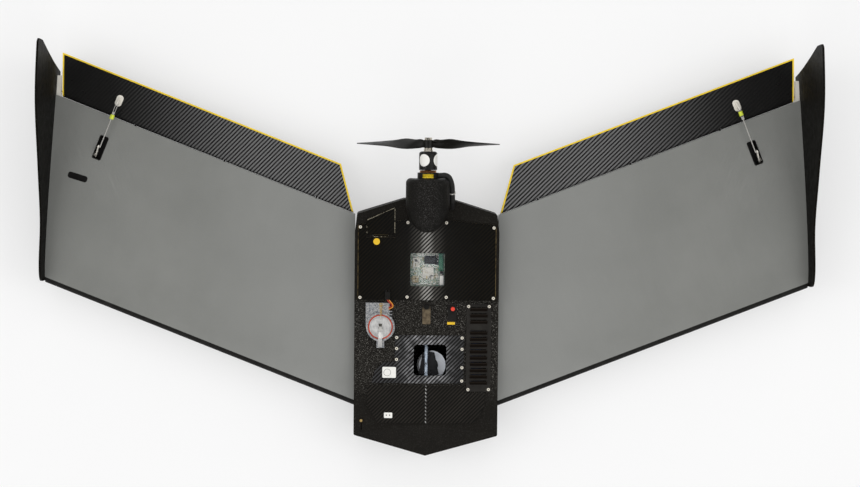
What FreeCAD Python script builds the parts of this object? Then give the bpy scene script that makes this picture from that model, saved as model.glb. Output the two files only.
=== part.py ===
import FreeCAD, Part
import math
import os

from FreeCAD import Placement, Rotation, Vector

# A swept flying-wing survey drone with a pusher motor, millimetres.
# +X is towards its own left wing, -Y towards its nose, +Z up.
# The origin is on the flat belly, on the centreline. The left side is built at +X,
# and the right side is its mirror image.

# ---- Fuselage ----
nose_y = -200.0
nose_corner_y = -168.0
side_taper_y = 130.0
rear_corner_y = 156.0
rear_corner_x = 102.0
tail_y = 178.0
tail_half_width = 34.0
fuselage_half_width = 105.0
belly_half_width = 86.0
belly_chine_z = 16.0
belly_front_y = -150.0
belly_rear_y = 150.0
nose_under_z = 26.0
nose_top_z = 50.0
nose_break_y = -151.0
tail_under_z = 24.0
ridge_z = 76.0
deck_edge_chamfer = 2.0
deck_step_y = 29.0
deck_fall_deg = 4.0
shell_wall = 4.0
plan_corner_radius = 3.0

# ---- Wing ----
chord_plane_z = 38.0
sweep_deg = 21.35
wing_chord = 346.0
wing_thickness_share = 0.10
wing_front_y = -168.0
wing_nose_strip = 8.0
tip_anchor_x = 550.0
tip_anchor_y = 200.0

# ---- Elevon and its hinge, across the swept hinge line ----
hinge_y = 120.6
elevon_chord = 53.5
elevon_edge_radius = 1.2
elevon_root_x = 109.4
elevon_root_slant_deg = 14.8
elevon_tip_clearance = 16.0
elevon_tip_x = tip_anchor_x - elevon_tip_clearance
elevon_tape_width = 2.2
nose_gap = 0.6
hinge_pin_radius = 1.0
hinge_pin_length = 24.0
running_clearance = 0.05
hinge_stations = (160.0, 295.0, 425.0)
lug_width = 3.0
lug_radius = 4.0
lug_arm_half_height = 2.6
lug_slot_gap = 0.5
lug_slot_half_height = 5.0
lug_depth = 6.5
tip_bearing_gap = 1.8
tip_bearing_length = 31.0
tip_bearing_half_height = 4.0

# ---- Winglet ----
winglet_thickness = 3.0
winglet_cant_deg = 4.7
winglet_toe_deg = 3.4
winglet_top = 158.0
winglet_foot = 18.0

# ---- Servo linkage: the arm and the horn are equal and parallel ----
link_u = 491.5
horn_back = 14.0
horn_rise = 19.0
horn_thickness = 1.6
servo_axis_v = -67.7
servo_axis_w = 3.0
servo_length = 23.0
servo_width = 12.0
servo_depth = 23.0
rod_radius = 0.8
link_pin_radius = 0.8
link_pin_clearance = 0.1
arm_thickness = 1.6
arm_side_gap = 0.8
slot_length = 36.0
slot_width = 13.5
slot_corner_radius = 2.5
slot_wall = 1.0
slot_depth = 9.0

# ---- Spars ----
main_spar_radius = 6.0
main_spar_bore = 5.0
main_spar_y = 25.0
main_spar_half_length = 380.0
rear_spar_radius = 4.0
rear_spar_y = 112.0
rear_spar_half_length = 180.0

# ---- Motor pod and motor ----
motor_axis_z = 105.0
pod_radius = 31.5
pod_wall = 2.2
pod_front_y = 131.0
pod_nose_length = 43.0
pod_rear_y = 208.5
pod_rear_corner = 7.0
mount_plate = 4.0
mount_sleeve_radius = 15.3
mount_sleeve_length = 9.0
mount_bore = 6.0
motor_radius = 13.1
bell_wall = 2.0
bell_length = 26.5
bell_end = 3.0
rotor_gap = 0.7
stator_radius = motor_radius - bell_wall - rotor_gap
motor_base_radius = motor_radius - 1.1
motor_base_length = 3.2
bell_gap = 0.8
shaft_radius = 2.0
collet_radius = 6.9
collet_length = 5.5
hub_radius = 7.2
hub_length = 11.0
nut_flats = 9.0
nut_length = 3.5
prop_radius = 104.0
prop_pitch = 152.0

# ---- Deck furniture ----
hatch_thickness = 1.6
rear_hatch_front_y = 31.0
rear_hatch_rear_y = 147.5
rear_hatch_side_y = 141.0
rear_hatch_half_width = 100.5
bay_rim = 12.0
window_thickness = 1.2
screw_head_radius = 2.3
screw_head_height = 1.3
screw_shank_radius = 1.2
screw_length = 7.0
vent_length = 127.5
vent_width = 36.0
vent_centre_x = 76.5
vent_centre_y = -38.7
louvre_width = 25.0
louvre_rise = 3.0
flap_thickness = 1.5
flap_lift = 0.1
flap_pin_radius = 0.8
flap_barrel_radius = 1.7

right_flip = Vector(1, 0, 0)
pieces = {}


# ---- Small builders ----
def block(low, high):
    size = Vector(*high) - Vector(*low)
    return Part.makeBox(size.x, size.y, size.z, Vector(*low))


def rod(radius, start, end):
    run = Vector(*end) - Vector(*start)
    return Part.makeCylinder(radius, run.Length, Vector(*start), run)


def join(shapes):
    whole = shapes[0]
    if len(shapes) > 1:
        whole = shapes[0].fuse(shapes[1:])
    return whole.removeSplitter()


def group(shapes):
    return Part.makeCompound([solid for shape in shapes for solid in shape.Solids])


def polygon_face(corners):
    return Part.Face(Part.makePolygon(corners + corners[:1]))


def corner_points(before, corner, after, trim):
    """Ends and middle of the arc that rounds a corner, each end a trim from it."""
    back = (before - corner).normalize()
    ahead = (after - corner).normalize()
    half_turn = (math.pi - back.getAngle(ahead)) / 2
    radius = trim / math.tan(half_turn)
    inward = (back + ahead).normalize()
    middle = corner + inward * (radius / math.cos(half_turn) - radius)
    return corner + back * trim, middle, corner + ahead * trim


def rounded_face(corners, radius):
    """Flat face with straight sides and an arc at every corner."""
    edges = []
    ends = []
    count = len(corners)
    for index, corner in enumerate(corners):
        before = corners[index - 1]
        after = corners[(index + 1) % count]
        turn = math.pi - (before - corner).getAngle(after - corner)
        trim = radius * math.tan(turn / 2)
        arc = corner_points(before, corner, after, trim)
        ends.append((arc[0], arc[2]))
        edges.append(Part.Arc(*arc).toShape())
    for index in range(count):
        start = ends[index][1]
        end = ends[(index + 1) % count][0]
        edges.append(Part.LineSegment(start, end).toShape())
    return Part.Face(Part.Wire(Part.__sortEdges__(edges)))


def plan(points, z=0.0):
    return [Vector(x, y, z) for x, y in points]


def side(points, x=0.0):
    return [Vector(x, y, z) for y, z in points]


def front(points, y=0.0):
    return [Vector(x, y, z) for x, z in points]


def tube_along(points, radius):
    """Round tube along straight runs joined by tangent arcs."""
    corners = [Vector(*point) for point in points]
    edges = []
    start = corners[0]
    for before, corner, after in zip(corners, corners[1:], corners[2:]):
        trim = 0.45 * min((before - corner).Length, (after - corner).Length)
        arc = corner_points(before, corner, after, trim)
        edges.append(Part.LineSegment(start, arc[0]).toShape())
        edges.append(Part.Arc(*arc).toShape())
        start = arc[2]
    edges.append(Part.LineSegment(start, corners[-1]).toShape())
    ring = Part.makeCircle(radius, corners[0], corners[1] - corners[0])
    return Part.Wire(edges).makePipeShell([Part.Wire([ring])], True, False)


def mirrored(shape):
    return shape.mirror(Vector(0, 0, 0), right_flip)


# ---- Frames: the swept hinge line, the sloping deck and the winglet plane ----
sweep = math.radians(sweep_deg)
sweep_rise = math.tan(sweep)
hinge_frame = Placement(Vector(0, hinge_y, chord_plane_z), Rotation(Vector(0, 0, 1), sweep_deg))
deck_fall = math.tan(math.radians(deck_fall_deg))


def on_hinge(shape):
    """Moves a shape from hinge axes (along, behind, above) to the drone's axes."""
    placed = shape.copy()
    placed.Placement = hinge_frame.multiply(placed.Placement)
    return placed


def on_deck(shape, left):
    """Lays a shape, built on z = 0 with x measured from the ridge, on one slope of the deck."""
    placed = shape.copy()
    tilt = deck_fall_deg if left else -deck_fall_deg
    slope = Placement(Vector(0, 0, ridge_z), Rotation(Vector(0, 1, 0), tilt))
    placed.Placement = slope.multiply(placed.Placement)
    return placed


def on_tip(shape):
    """Moves a shape from the winglet's own axes (out, back, up) to the left wing tip."""
    placed = shape.copy()
    turn = Rotation(Vector(0, 0, 1), winglet_toe_deg)
    lean = Rotation(Vector(0, 1, 0), winglet_cant_deg)
    foot = Placement(Vector(tip_anchor_x, tip_anchor_y, chord_plane_z), turn.multiply(lean))
    placed.Placement = foot.multiply(placed.Placement)
    return placed


def gable_slab(bottom, top, front_y, rear_y):
    """Sheet that follows the two slopes of the front deck, between two heights above it."""
    reach = fuselage_half_width * 1.2
    drop = reach * deck_fall
    ring = [
        (0, ridge_z + bottom),
        (reach, ridge_z + bottom - drop),
        (reach, ridge_z + top - drop),
        (0, ridge_z + top),
        (-reach, ridge_z + top - drop),
        (-reach, ridge_z + bottom - drop),
    ]
    return polygon_face(front(ring, front_y)).extrude(Vector(0, rear_y - front_y, 0))


def standing(face, low, high):
    """Prism of a plan face between two heights."""
    moved = face.copy()
    moved.translate(Vector(0, 0, low))
    return moved.extrude(Vector(0, 0, high - low))


# ---- Fuselage shells ----
plan_ring = [
    (0, nose_y),
    (fuselage_half_width, nose_corner_y),
    (fuselage_half_width, side_taper_y),
    (rear_corner_x, rear_corner_y),
    (tail_half_width, tail_y),
    (-tail_half_width, tail_y),
    (-rear_corner_x, rear_corner_y),
    (-fuselage_half_width, side_taper_y),
    (-fuselage_half_width, nose_corner_y),
]
side_ring = [
    (nose_y, nose_under_z),
    (belly_front_y, 0),
    (belly_rear_y, 0),
    (tail_y, tail_under_z),
    (tail_y, ridge_z),
    (nose_break_y, ridge_z),
    (nose_y, nose_top_z),
]
shoulder_z = ridge_z - deck_edge_chamfer
front_ring = [
    (belly_half_width, 0),
    (fuselage_half_width, belly_chine_z),
    (fuselage_half_width, shoulder_z),
    (fuselage_half_width - deck_edge_chamfer, ridge_z),
    (-fuselage_half_width + deck_edge_chamfer, ridge_z),
    (-fuselage_half_width, shoulder_z),
    (-fuselage_half_width, belly_chine_z),
    (-belly_half_width, 0),
]


def fuselage_block(inset):
    """The fuselage's outer form, drawn in evenly by an inset."""
    reach = 2 * fuselage_half_width
    length = tail_y - nose_y
    seen_above = rounded_face(plan(plan_ring), plan_corner_radius)
    seen_beside = polygon_face(side(side_ring, -reach))
    seen_ahead = polygon_face(front(front_ring, nose_y - length))
    if inset > 0:
        seen_above = seen_above.makeOffset2D(-inset)
        seen_beside = seen_beside.makeOffset2D(-inset)
        seen_ahead = seen_ahead.makeOffset2D(-inset)
    form = standing(seen_above, -ridge_z, 2 * ridge_z)
    form = form.common(seen_beside.extrude(Vector(2 * reach, 0, 0)))
    form = form.common(seen_ahead.extrude(Vector(0, 3 * length, 0)))
    return form.cut(gable_slab(-inset, ridge_z, nose_y - length, deck_step_y + inset))


def spar_rods():
    """Main and rear spars, as solid rods that cut their own holes."""
    main_end = (main_spar_half_length, main_spar_y, chord_plane_z)
    rear_end = (rear_spar_half_length, rear_spar_y, chord_plane_z)
    main = rod(main_spar_radius, (-main_end[0], *main_end[1:]), main_end)
    rear = rod(rear_spar_radius, (-rear_end[0], *rear_end[1:]), rear_end)
    return main, rear


main_rod, rear_rod = spar_rods()
main_bore = rod(
    main_spar_bore,
    (-main_spar_half_length, main_spar_y, chord_plane_z),
    (main_spar_half_length, main_spar_y, chord_plane_z),
)
pieces["wing_spars"] = group([main_rod.cut(main_bore), rear_rod])

fuselage_shell = fuselage_block(0).cut(fuselage_block(shell_wall))
half_space = 3 * fuselage_half_width
lower_half = block((-half_space, -half_space, -1), (half_space, half_space, chord_plane_z))

# ---- Camera and its bay ----
camera_x = 8.0
camera_y = -65.7
camera_ring_radius = 21.0
camera_ring_z = 52.0
camera_ring_plate = 3.0
camera_barrel_radius = 10.0
camera_top_height = 10.0
belly_glass_radius = 16.0
belly_glass_rim = 2.0
belly_glass_z = 1.5
lens_gap = 3.0
cradle_leg_radius = 2.5

port_radius = belly_glass_radius - belly_glass_rim
port_hole = rod(port_radius, (camera_x, camera_y, -1), (camera_x, camera_y, shell_wall))
belly_glass = rod(belly_glass_radius, (camera_x, camera_y, belly_glass_z), (camera_x, camera_y, shell_wall))
pieces["belly_window"] = belly_glass

cradle_top = camera_ring_z + camera_ring_plate
barrel = rod(
    camera_barrel_radius,
    (camera_x, camera_y, shell_wall + lens_gap),
    (camera_x, camera_y, cradle_top),
)
camera_top_ring = plan([(-4.5, -46.5), (12.5, -46.5), (19.0, -79.0), (-10.0, -79.0)], cradle_top)
camera_top = rounded_face(camera_top_ring, 2.0).extrude(Vector(0, 0, camera_top_height))
pieces["camera_body"] = join([barrel, camera_top])

cradle_ring = rod(camera_ring_radius, (camera_x, camera_y, camera_ring_z), (camera_x, camera_y, cradle_top))
cradle_leg_ring = camera_ring_radius - cradle_leg_radius - 1.0
cradle_legs = []
for angle in (30, 150, 270):
    leg_x = camera_x + cradle_leg_ring * math.cos(math.radians(angle))
    leg_y = camera_y + cradle_leg_ring * math.sin(math.radians(angle))
    cradle_legs.append(rod(cradle_leg_radius, (leg_x, leg_y, shell_wall), (leg_x, leg_y, camera_ring_z)))
pieces["camera_cradle"] = join([cradle_ring] + cradle_legs).cut(barrel)

# ---- Batteries, equipment tray and electronics ----
battery_width = 44.0
battery_length = 130.0
battery_height = 34.0
battery_front_y = -135.0
battery_inner_x = 40.0
battery_edge = 3.0

battery = block(
    (battery_inner_x, battery_front_y, shell_wall),
    (battery_inner_x + battery_width, battery_front_y + battery_length, shell_wall + battery_height),
)
battery = battery.makeFillet(battery_edge, battery.Edges)
pieces["battery_packs"] = group([battery, mirrored(battery)])

tray_z = chord_plane_z + main_spar_radius + 2.0
tray_thickness = 2.5
tray_half_width = 78.0
tray_front_y = 38.0
tray_rear_y = 150.0
tray_leg_radius = 4.0
tray_leg_inset = 8.0
board_post_height = 10.0
board_post_radius = 2.5
board_thickness = 1.6

tray_top = tray_z + tray_thickness
tray_ring = plan(
    [
        (-tray_half_width, tray_front_y),
        (tray_half_width, tray_front_y),
        (tray_half_width, tray_rear_y),
        (-tray_half_width, tray_rear_y),
    ]
)
tray_parts = [standing(rounded_face(tray_ring, 6.0), tray_z, tray_top)]
for leg_x in (-tray_half_width + tray_leg_inset, tray_half_width - tray_leg_inset):
    for leg_y in (tray_front_y + tray_leg_inset, tray_rear_y - tray_leg_inset - tray_leg_inset):
        tray_parts.append(rod(tray_leg_radius, (leg_x, leg_y, shell_wall), (leg_x, leg_y, tray_z)))

window_x0 = -24.0
window_x1 = 26.0
window_y0 = 51.5
window_y1 = 99.5
board_margin = 4.0
board_low = (window_x0 - board_margin, window_y0 - board_margin)
board_high = (window_x1 + board_margin, window_y1 + board_margin)
board_z = tray_top + board_post_height
board_top = board_z + board_thickness
for post_x in (board_low[0] + 3.0, board_high[0] - 3.0):
    for post_y in (board_low[1] + 3.0, board_high[1] - 3.0):
        tray_parts.append(rod(board_post_radius, (post_x, post_y, tray_top), (post_x, post_y, board_z)))
pieces["equipment_tray"] = join(tray_parts)

board = block((*board_low, board_z), (*board_high, board_top))
chip_sizes = {
    "main_chip": (-6.0, 62.0, 16.0, 16.0, 1.6),
    "memory_chip": (-20.0, 78.0, 10.0, 14.0, 1.2),
    "sensor_can": (-2.0, 84.0, 14.0, 11.0, 3.0),
    "power_choke": (-21.0, 56.0, 9.0, 9.0, 4.0),
    "side_header": (19.0, 54.0, 5.0, 18.0, 4.5),
    "card_slot": (12.0, 82.0, 5.0, 14.0, 2.4),
    "small_chip": (11.5, 63.0, 5.0, 6.0, 1.0),
}
chips = [
    block((x, y, board_top), (x + wide, y + long, board_top + tall))
    for x, y, wide, long, tall in chip_sizes.values()
]
pieces["autopilot_board"] = group([board] + chips)

modem = block((36.0, 60.0, tray_top), (70.0, 118.0, tray_top + 14.0))
pieces["radio_modem"] = modem.makeFillet(1.5, modem.Edges)
gps_puck = rod(16.0, (-52.0, 76.0, tray_top), (-52.0, 76.0, tray_top + 12.0))
pieces["gps_receiver"] = gps_puck.makeFillet(2.5, [gps_puck.Edges[0]])

# ---- Deck openings ----
camera_window_x0 = -18.0
camera_window_x1 = 29.5
camera_window_y0 = -79.0
camera_window_y1 = -34.0
port_x0 = -84.0
port_x1 = -52.0
port_y0 = 131.0
port_y1 = 146.0
wire_hole_radius = 7.0
wire_hole_y = 162.0

bay_opening = block(
    (window_x0 - bay_rim, window_y0 - bay_rim, chord_plane_z),
    (window_x1 + bay_rim, window_y1 + bay_rim, 2 * ridge_z),
)
camera_opening = block(
    (camera_window_x0, camera_window_y0, chord_plane_z + main_spar_radius),
    (camera_window_x1, camera_window_y1, 2 * ridge_z),
)
vent_opening = block(
    (
        vent_centre_x - louvre_width / 2,
        vent_centre_y - vent_length / 2 + bay_rim,
        chord_plane_z + main_spar_radius,
    ),
    (vent_centre_x + louvre_width / 2, vent_centre_y + vent_length / 2 - bay_rim, 2 * ridge_z),
)
port_opening = block((port_x0, port_y0, tray_top), (port_x1, port_y1, 2 * ridge_z))
wire_opening = rod(wire_hole_radius, (0, wire_hole_y, tray_top), (0, wire_hole_y, ridge_z + 5.0))

patch_recess = block((-103.0, -109.0, -1.0), (-88.0, -94.0, 1.0))
slit_recess = block((-94.6, -161.0, -4.0), (-93.4, -148.0, 4.0))

deck = fuselage_shell.cut(lower_half)
deck = deck.cut([main_rod, rear_rod, bay_opening, camera_opening, vent_opening, port_opening, wire_opening])
deck = deck.cut([on_deck(patch_recess, False), on_deck(slit_recess, False)])
belly = fuselage_shell.common(lower_half).cut([main_rod, rear_rod, port_hole, belly_glass])
pieces["belly_hull"] = belly


# ---- Screws ----
def screw(x, y, head_z):
    """Dome-headed screw whose head sits on head_z."""
    head = rod(screw_head_radius, (x, y, head_z), (x, y, head_z + screw_head_height))
    head = head.makeFillet(screw_head_height * 0.6, [head.Edges[0]])
    shank = rod(screw_shank_radius, (x, y, head_z - screw_length), (x, y, head_z))
    socket_points = []
    for corner in range(6):
        angle = math.radians(60 * corner)
        socket_points.append((x + 1.1 * math.cos(angle), y + 1.1 * math.sin(angle)))
    socket = standing(polygon_face(plan(socket_points)), head_z + 0.5, head_z + 2.0)
    return head.fuse(shank).cut(socket)


# ---- Motor pod ----
def pod_half_face(inset):
    """Half of the pod's plan, at +X: an elliptic nose, a straight side and a rounded rear corner."""
    radius = pod_radius - inset
    nose = pod_nose_length - inset
    shoulder_y = pod_front_y + pod_nose_length
    curve_points = []
    for step in range(9):
        angle = math.pi / 2 * step / 8
        curve_points.append(Vector(radius * math.sin(angle), shoulder_y - nose * math.cos(angle), 0))
    curve = Part.BSplineCurve()
    curve.interpolate(
        Points=curve_points,
        InitialTangent=Vector(radius, 0, 0),
        FinalTangent=Vector(0, nose, 0),
    )
    shoulder = Vector(radius, shoulder_y, 0)
    side_end = Vector(radius, pod_rear_y - pod_rear_corner, 0)
    rear_end = Vector(radius - pod_rear_corner, pod_rear_y, 0)
    diagonal = pod_rear_corner * (1 - math.sqrt(0.5))
    bend = Part.Arc(side_end, Vector(radius - diagonal, pod_rear_y - diagonal, 0), rear_end).toShape()
    flank = Part.makeLine(shoulder, side_end)
    rest = Part.makePolygon([rear_end, Vector(0, pod_rear_y, 0), curve_points[0]])
    return Part.Face(Part.Wire([curve.toShape(), flank, bend] + rest.Edges))


def pod_form(inset, floor_z):
    """Domed nacelle with upright sides down to floor_z, drawn in by an inset."""
    half = pod_half_face(inset)
    axis_point = Vector(0, 0, 0)
    dome = half.revolve(axis_point, Vector(0, 1, 0), 360)
    dome.translate(Vector(0, 0, motor_axis_z))
    skirt = standing(half, floor_z, motor_axis_z)
    return join([dome, skirt, mirrored(skirt)])


pod_floor_z = ridge_z + 2.0
pod_outer = pod_form(0, ridge_z)
above_deck = block((-2 * pod_radius, 0, ridge_z), (2 * pod_radius, 2 * pod_rear_y, 3 * ridge_z))
pod_outer = pod_outer.common(above_deck)
pod_room = pod_form(pod_wall, pod_floor_z)
above_floor = block((-2 * pod_radius, 0, pod_floor_z), (2 * pod_radius, 2 * pod_rear_y, 3 * ridge_z))
pod_room = pod_room.common(above_floor)
pod_shell = pod_outer.cut([pod_room, wire_opening])

# The motor mount: a plate inside the pod's rear end and a sleeve behind it.
mount_front_y = pod_rear_y - mount_plate
mount_slab = block((-2 * pod_radius, mount_front_y, 0), (2 * pod_radius, pod_rear_y, 3 * ridge_z))
mount_disc = pod_room.common(mount_slab)
sleeve_rear_y = pod_rear_y + mount_sleeve_length
axis_z = motor_axis_z
mount_sleeve = rod(mount_sleeve_radius, (0, pod_rear_y, axis_z), (0, sleeve_rear_y, axis_z))
mount_hole = rod(mount_bore, (0, mount_front_y - 1, axis_z), (0, sleeve_rear_y + 1, axis_z))
notch_half_width = 8.0
notch_z = axis_z + 9.5
lead_notch = block(
    (-notch_half_width, pod_rear_y + 1.5, notch_z),
    (notch_half_width, sleeve_rear_y - 1.5, axis_z + mount_sleeve_radius + 1.0),
)

# ---- Motor: fixed stator inside a turning bell ----
motor_front_y = sleeve_rear_y
bell_front_y = motor_front_y + motor_base_length + bell_gap
bell_rear_y = bell_front_y + bell_length
bell_inside_y = bell_rear_y - bell_end
stator_front_y = bell_front_y + 1.0
stator_rear_y = bell_inside_y - bell_gap
bearing_tube_radius = 4.5
shaft_front_y = motor_front_y - 3.0
collet_rear_y = bell_rear_y + collet_length
hub_rear_y = collet_rear_y + hub_length
nut_rear_y = hub_rear_y + nut_length

bearing_bore = rod(shaft_radius + running_clearance, (0, motor_front_y - 1, axis_z), (0, bell_rear_y, axis_z))
base_rear_y = motor_front_y + motor_base_length
stator_base = rod(motor_base_radius, (0, motor_front_y, axis_z), (0, base_rear_y, axis_z))
stator_tube = rod(bearing_tube_radius, (0, motor_front_y, axis_z), (0, stator_rear_y, axis_z))
stator_core = rod(stator_radius, (0, stator_front_y, axis_z), (0, stator_rear_y - 1.0, axis_z))
tooth_slot_radius = 1.3
tooth_slots = []
for tooth in range(12):
    angle = math.radians(30 * tooth)
    slot_x = stator_radius * math.cos(angle)
    slot_z = axis_z + stator_radius * math.sin(angle)
    slot_start = (slot_x, stator_front_y - 1, slot_z)
    tooth_slots.append(rod(tooth_slot_radius, slot_start, (slot_x, stator_rear_y, slot_z)))
pieces["motor_stator"] = join([stator_base, stator_tube, stator_core.cut(tooth_slots)]).cut(bearing_bore)

shaft = rod(shaft_radius, (0, shaft_front_y, axis_z), (0, nut_rear_y, axis_z))
bell = rod(motor_radius, (0, bell_front_y, axis_z), (0, bell_rear_y, axis_z))
bell_corner = 3.6
bell = bell.makeFillet(bell_corner, [bell.Edges[0]])
bell_room = rod(motor_radius - bell_wall, (0, bell_front_y - 1, axis_z), (0, bell_inside_y, axis_z))
cooling_hole_radius = 2.2
cooling_ring_radius = motor_radius - 4.7
cooling_holes = []
for hole in range(6):
    angle = math.radians(60 * hole + 30)
    hole_x = cooling_ring_radius * math.cos(angle)
    hole_z = axis_z + cooling_ring_radius * math.sin(angle)
    hole_start = (hole_x, bell_inside_y - 1, hole_z)
    cooling_holes.append(rod(cooling_hole_radius, hole_start, (hole_x, bell_rear_y + 1, hole_z)))
pieces["motor_bell"] = bell.cut([bell_room, shaft] + cooling_holes)
pieces["motor_shaft"] = shaft

collet = Part.makeCone(
    collet_radius, collet_radius - 1.2, collet_length, Vector(0, bell_rear_y, axis_z), Vector(0, 1, 0)
)
pieces["prop_collet"] = collet.cut(shaft)

nut_ring = []
for corner in range(6):
    angle = math.radians(60 * corner)
    reach = nut_flats / math.sqrt(3)
    nut_ring.append(Vector(reach * math.cos(angle), hub_rear_y, axis_z + reach * math.sin(angle)))
nut = polygon_face(nut_ring).extrude(Vector(0, nut_length, 0))
pieces["prop_nut"] = nut.cut(shaft)


# ---- Propeller ----
blade_stations = {
    "root": (0.05, 9.0, 5.0),
    "shoulder": (0.14, 15.0, 3.6),
    "widest": (0.30, 24.0, 2.8),
    "middle": (0.55, 21.0, 2.0),
    "two_thirds": (0.68, 17.5, 1.7),
    "outer": (0.80, 13.4, 1.4),
    "near_tip": (0.91, 9.0, 1.1),
    "tip": (0.99, 4.4, 0.8),
}


def blade_section(share, chord, thickness):
    """Flat ellipse across the blade at a share of the radius, turned to the pitch angle."""
    reach = prop_radius * share
    pitch_angle = math.atan2(prop_pitch, 2 * math.pi * max(reach, prop_radius * 0.14))
    centre = Vector(reach, (collet_rear_y + hub_rear_y) / 2, axis_z)
    along = Vector(0, math.sin(pitch_angle), math.cos(pitch_angle))
    across = Vector(0, math.cos(pitch_angle), -math.sin(pitch_angle))
    ring = Part.Ellipse(centre + along * (chord / 2), centre + across * (thickness / 2), centre)
    return Part.Wire([ring.toShape()])


blade = Part.makeLoft([blade_section(*station) for station in blade_stations.values()], True, False)
half_turned = blade.copy()
half_turned.rotate(Vector(0, 0, axis_z), Vector(0, 1, 0), 180)
hub = rod(hub_radius, (0, collet_rear_y, axis_z), (0, hub_rear_y, axis_z))
propeller = join([hub, blade, half_turned]).cut(shaft)
pieces["propeller"] = propeller

# ---- Leads and the sleeve beside the pod ----
lead_radius = 1.2
lead_sink = 3.0
leads = []
for offset in (-2.6, 0.0, 2.6):
    lead_y = (pod_rear_y + sleeve_rear_y) / 2 + offset
    rise = notch_z + 1.6 + abs(offset) * 0.2
    leads.append(
        tube_along(
            [
                (-notch_half_width - lead_sink, lead_y, notch_z - 0.5),
                (-notch_half_width * 0.45, lead_y, rise),
                (notch_half_width * 0.45, lead_y + 0.4, rise + 0.5),
                (notch_half_width + lead_sink, lead_y, notch_z - 0.5),
            ],
            lead_radius,
        )
    )
pieces["motor_leads"] = group(leads)

sleeve_radius = 4.2
sleeve_side_x = pod_radius + sleeve_radius - 1.5
sleeve_deck_z = ridge_z
sleeve_points = [
    (mount_sleeve_radius - 1.0, sleeve_rear_y - 4.5, axis_z + 2.0),
    (sleeve_side_x - 5.0, sleeve_rear_y - 3.5, axis_z + 1.0),
    (sleeve_side_x + 0.5, sleeve_rear_y - 17.0, axis_z - 4.0),
    (sleeve_side_x + 1.5, tail_y - 2.0, axis_z - 16.0),
    (sleeve_side_x + 1.5, tail_y - 12.0, sleeve_deck_z - shell_wall / 2),
]
sleeve = tube_along(sleeve_points, sleeve_radius)
clip_low = Vector(*sleeve_points[2])
clip_high = Vector(*sleeve_points[3])
clip_centre = clip_low + (clip_high - clip_low) * 0.5
clip_run = (clip_high - clip_low).normalize()
clip_width = 1.8
clip_start = clip_centre - clip_run * (clip_width / 2)
clip_ring = Part.makeCylinder(sleeve_radius + 1.1, clip_width, clip_start, clip_run)
clip_hole = Part.makeCylinder(sleeve_radius, clip_width * 3, clip_start - clip_run * clip_width, clip_run)
pieces["lead_sleeve"] = group([sleeve, clip_ring.cut(clip_hole)])
pieces["motor_mount"] = join([mount_disc, mount_sleeve]).cut([mount_hole, lead_notch, sleeve] + leads)
pieces["motor_pod"] = pod_shell.cut([sleeve, clip_ring])

controller = block((-13.0, 148.0, pod_floor_z), (13.0, 192.0, pod_floor_z + 9.0))
pieces["speed_controller"] = controller.makeFillet(1.0, controller.Edges)

# ---- Rear hatch with its window and access flap ----
rear_screws = []
for sign in (-1, 1):
    rear_screws.append(screw(sign * 97.0, 137.0, ridge_z + hatch_thickness))
    rear_screws.append(screw(sign * 97.0, 34.5, ridge_z + hatch_thickness))
    rear_screws.append(screw(sign * 28.0, 144.0, ridge_z + hatch_thickness))
    rear_screws.append(screw(sign * 28.5, 35.5, ridge_z + hatch_thickness))

rear_hatch_ring = plan(
    [
        (-rear_hatch_half_width, rear_hatch_front_y),
        (rear_hatch_half_width, rear_hatch_front_y),
        (rear_hatch_half_width, rear_hatch_side_y),
        (32.0, rear_hatch_rear_y),
        (-32.0, rear_hatch_rear_y),
        (-rear_hatch_half_width, rear_hatch_side_y),
    ],
    ridge_z,
)
rear_hatch = rounded_face(rear_hatch_ring, 3.0).extrude(Vector(0, 0, hatch_thickness))

flap_front_y = 126.0
flap_axis_y = flap_front_y - flap_barrel_radius
flap_axis_z = ridge_z + flap_lift + flap_barrel_radius
flap_x0 = -88.0
flap_x1 = -46.5
flap_left_y = 147.8
flap_right_y = 166.0
flap_margin = 0.6
barrel_long = 22.0
knuckle_long = 5.0
knuckle_gap = 0.3
flap_middle_x = (flap_x0 + flap_x1) / 2
flap_ring = [(flap_x0, flap_axis_y), (flap_x1, flap_axis_y), (flap_x1, flap_right_y), (flap_x0, flap_left_y)]
flap_plate = polygon_face(plan(flap_ring, ridge_z + flap_lift)).extrude(Vector(0, 0, flap_thickness))
barrel_space = block(
    (flap_x0 - 1, flap_axis_y - 3, ridge_z),
    (flap_x1 + 1, flap_front_y, ridge_z + 3),
)
flap_plate_body = flap_plate.cut(barrel_space)
flap_bridge = block(
    (flap_middle_x - barrel_long / 2, flap_axis_y, ridge_z + flap_lift),
    (flap_middle_x + barrel_long / 2, flap_front_y + 1.0, ridge_z + flap_lift + flap_thickness),
)
flap_barrel = rod(
    flap_barrel_radius,
    (flap_middle_x - barrel_long / 2, flap_axis_y, flap_axis_z),
    (flap_middle_x + barrel_long / 2, flap_axis_y, flap_axis_z),
)
pin_half = barrel_long / 2 + knuckle_gap + knuckle_long
flap_pin = rod(
    flap_pin_radius,
    (flap_middle_x - pin_half, flap_axis_y, flap_axis_z),
    (flap_middle_x + pin_half, flap_axis_y, flap_axis_z),
)
flap_bore = rod(
    flap_pin_radius + running_clearance,
    (flap_middle_x - pin_half, flap_axis_y, flap_axis_z),
    (flap_middle_x + pin_half, flap_axis_y, flap_axis_z),
)
pieces["access_flap"] = join([flap_plate_body, flap_bridge, flap_barrel]).cut(flap_bore)

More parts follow.
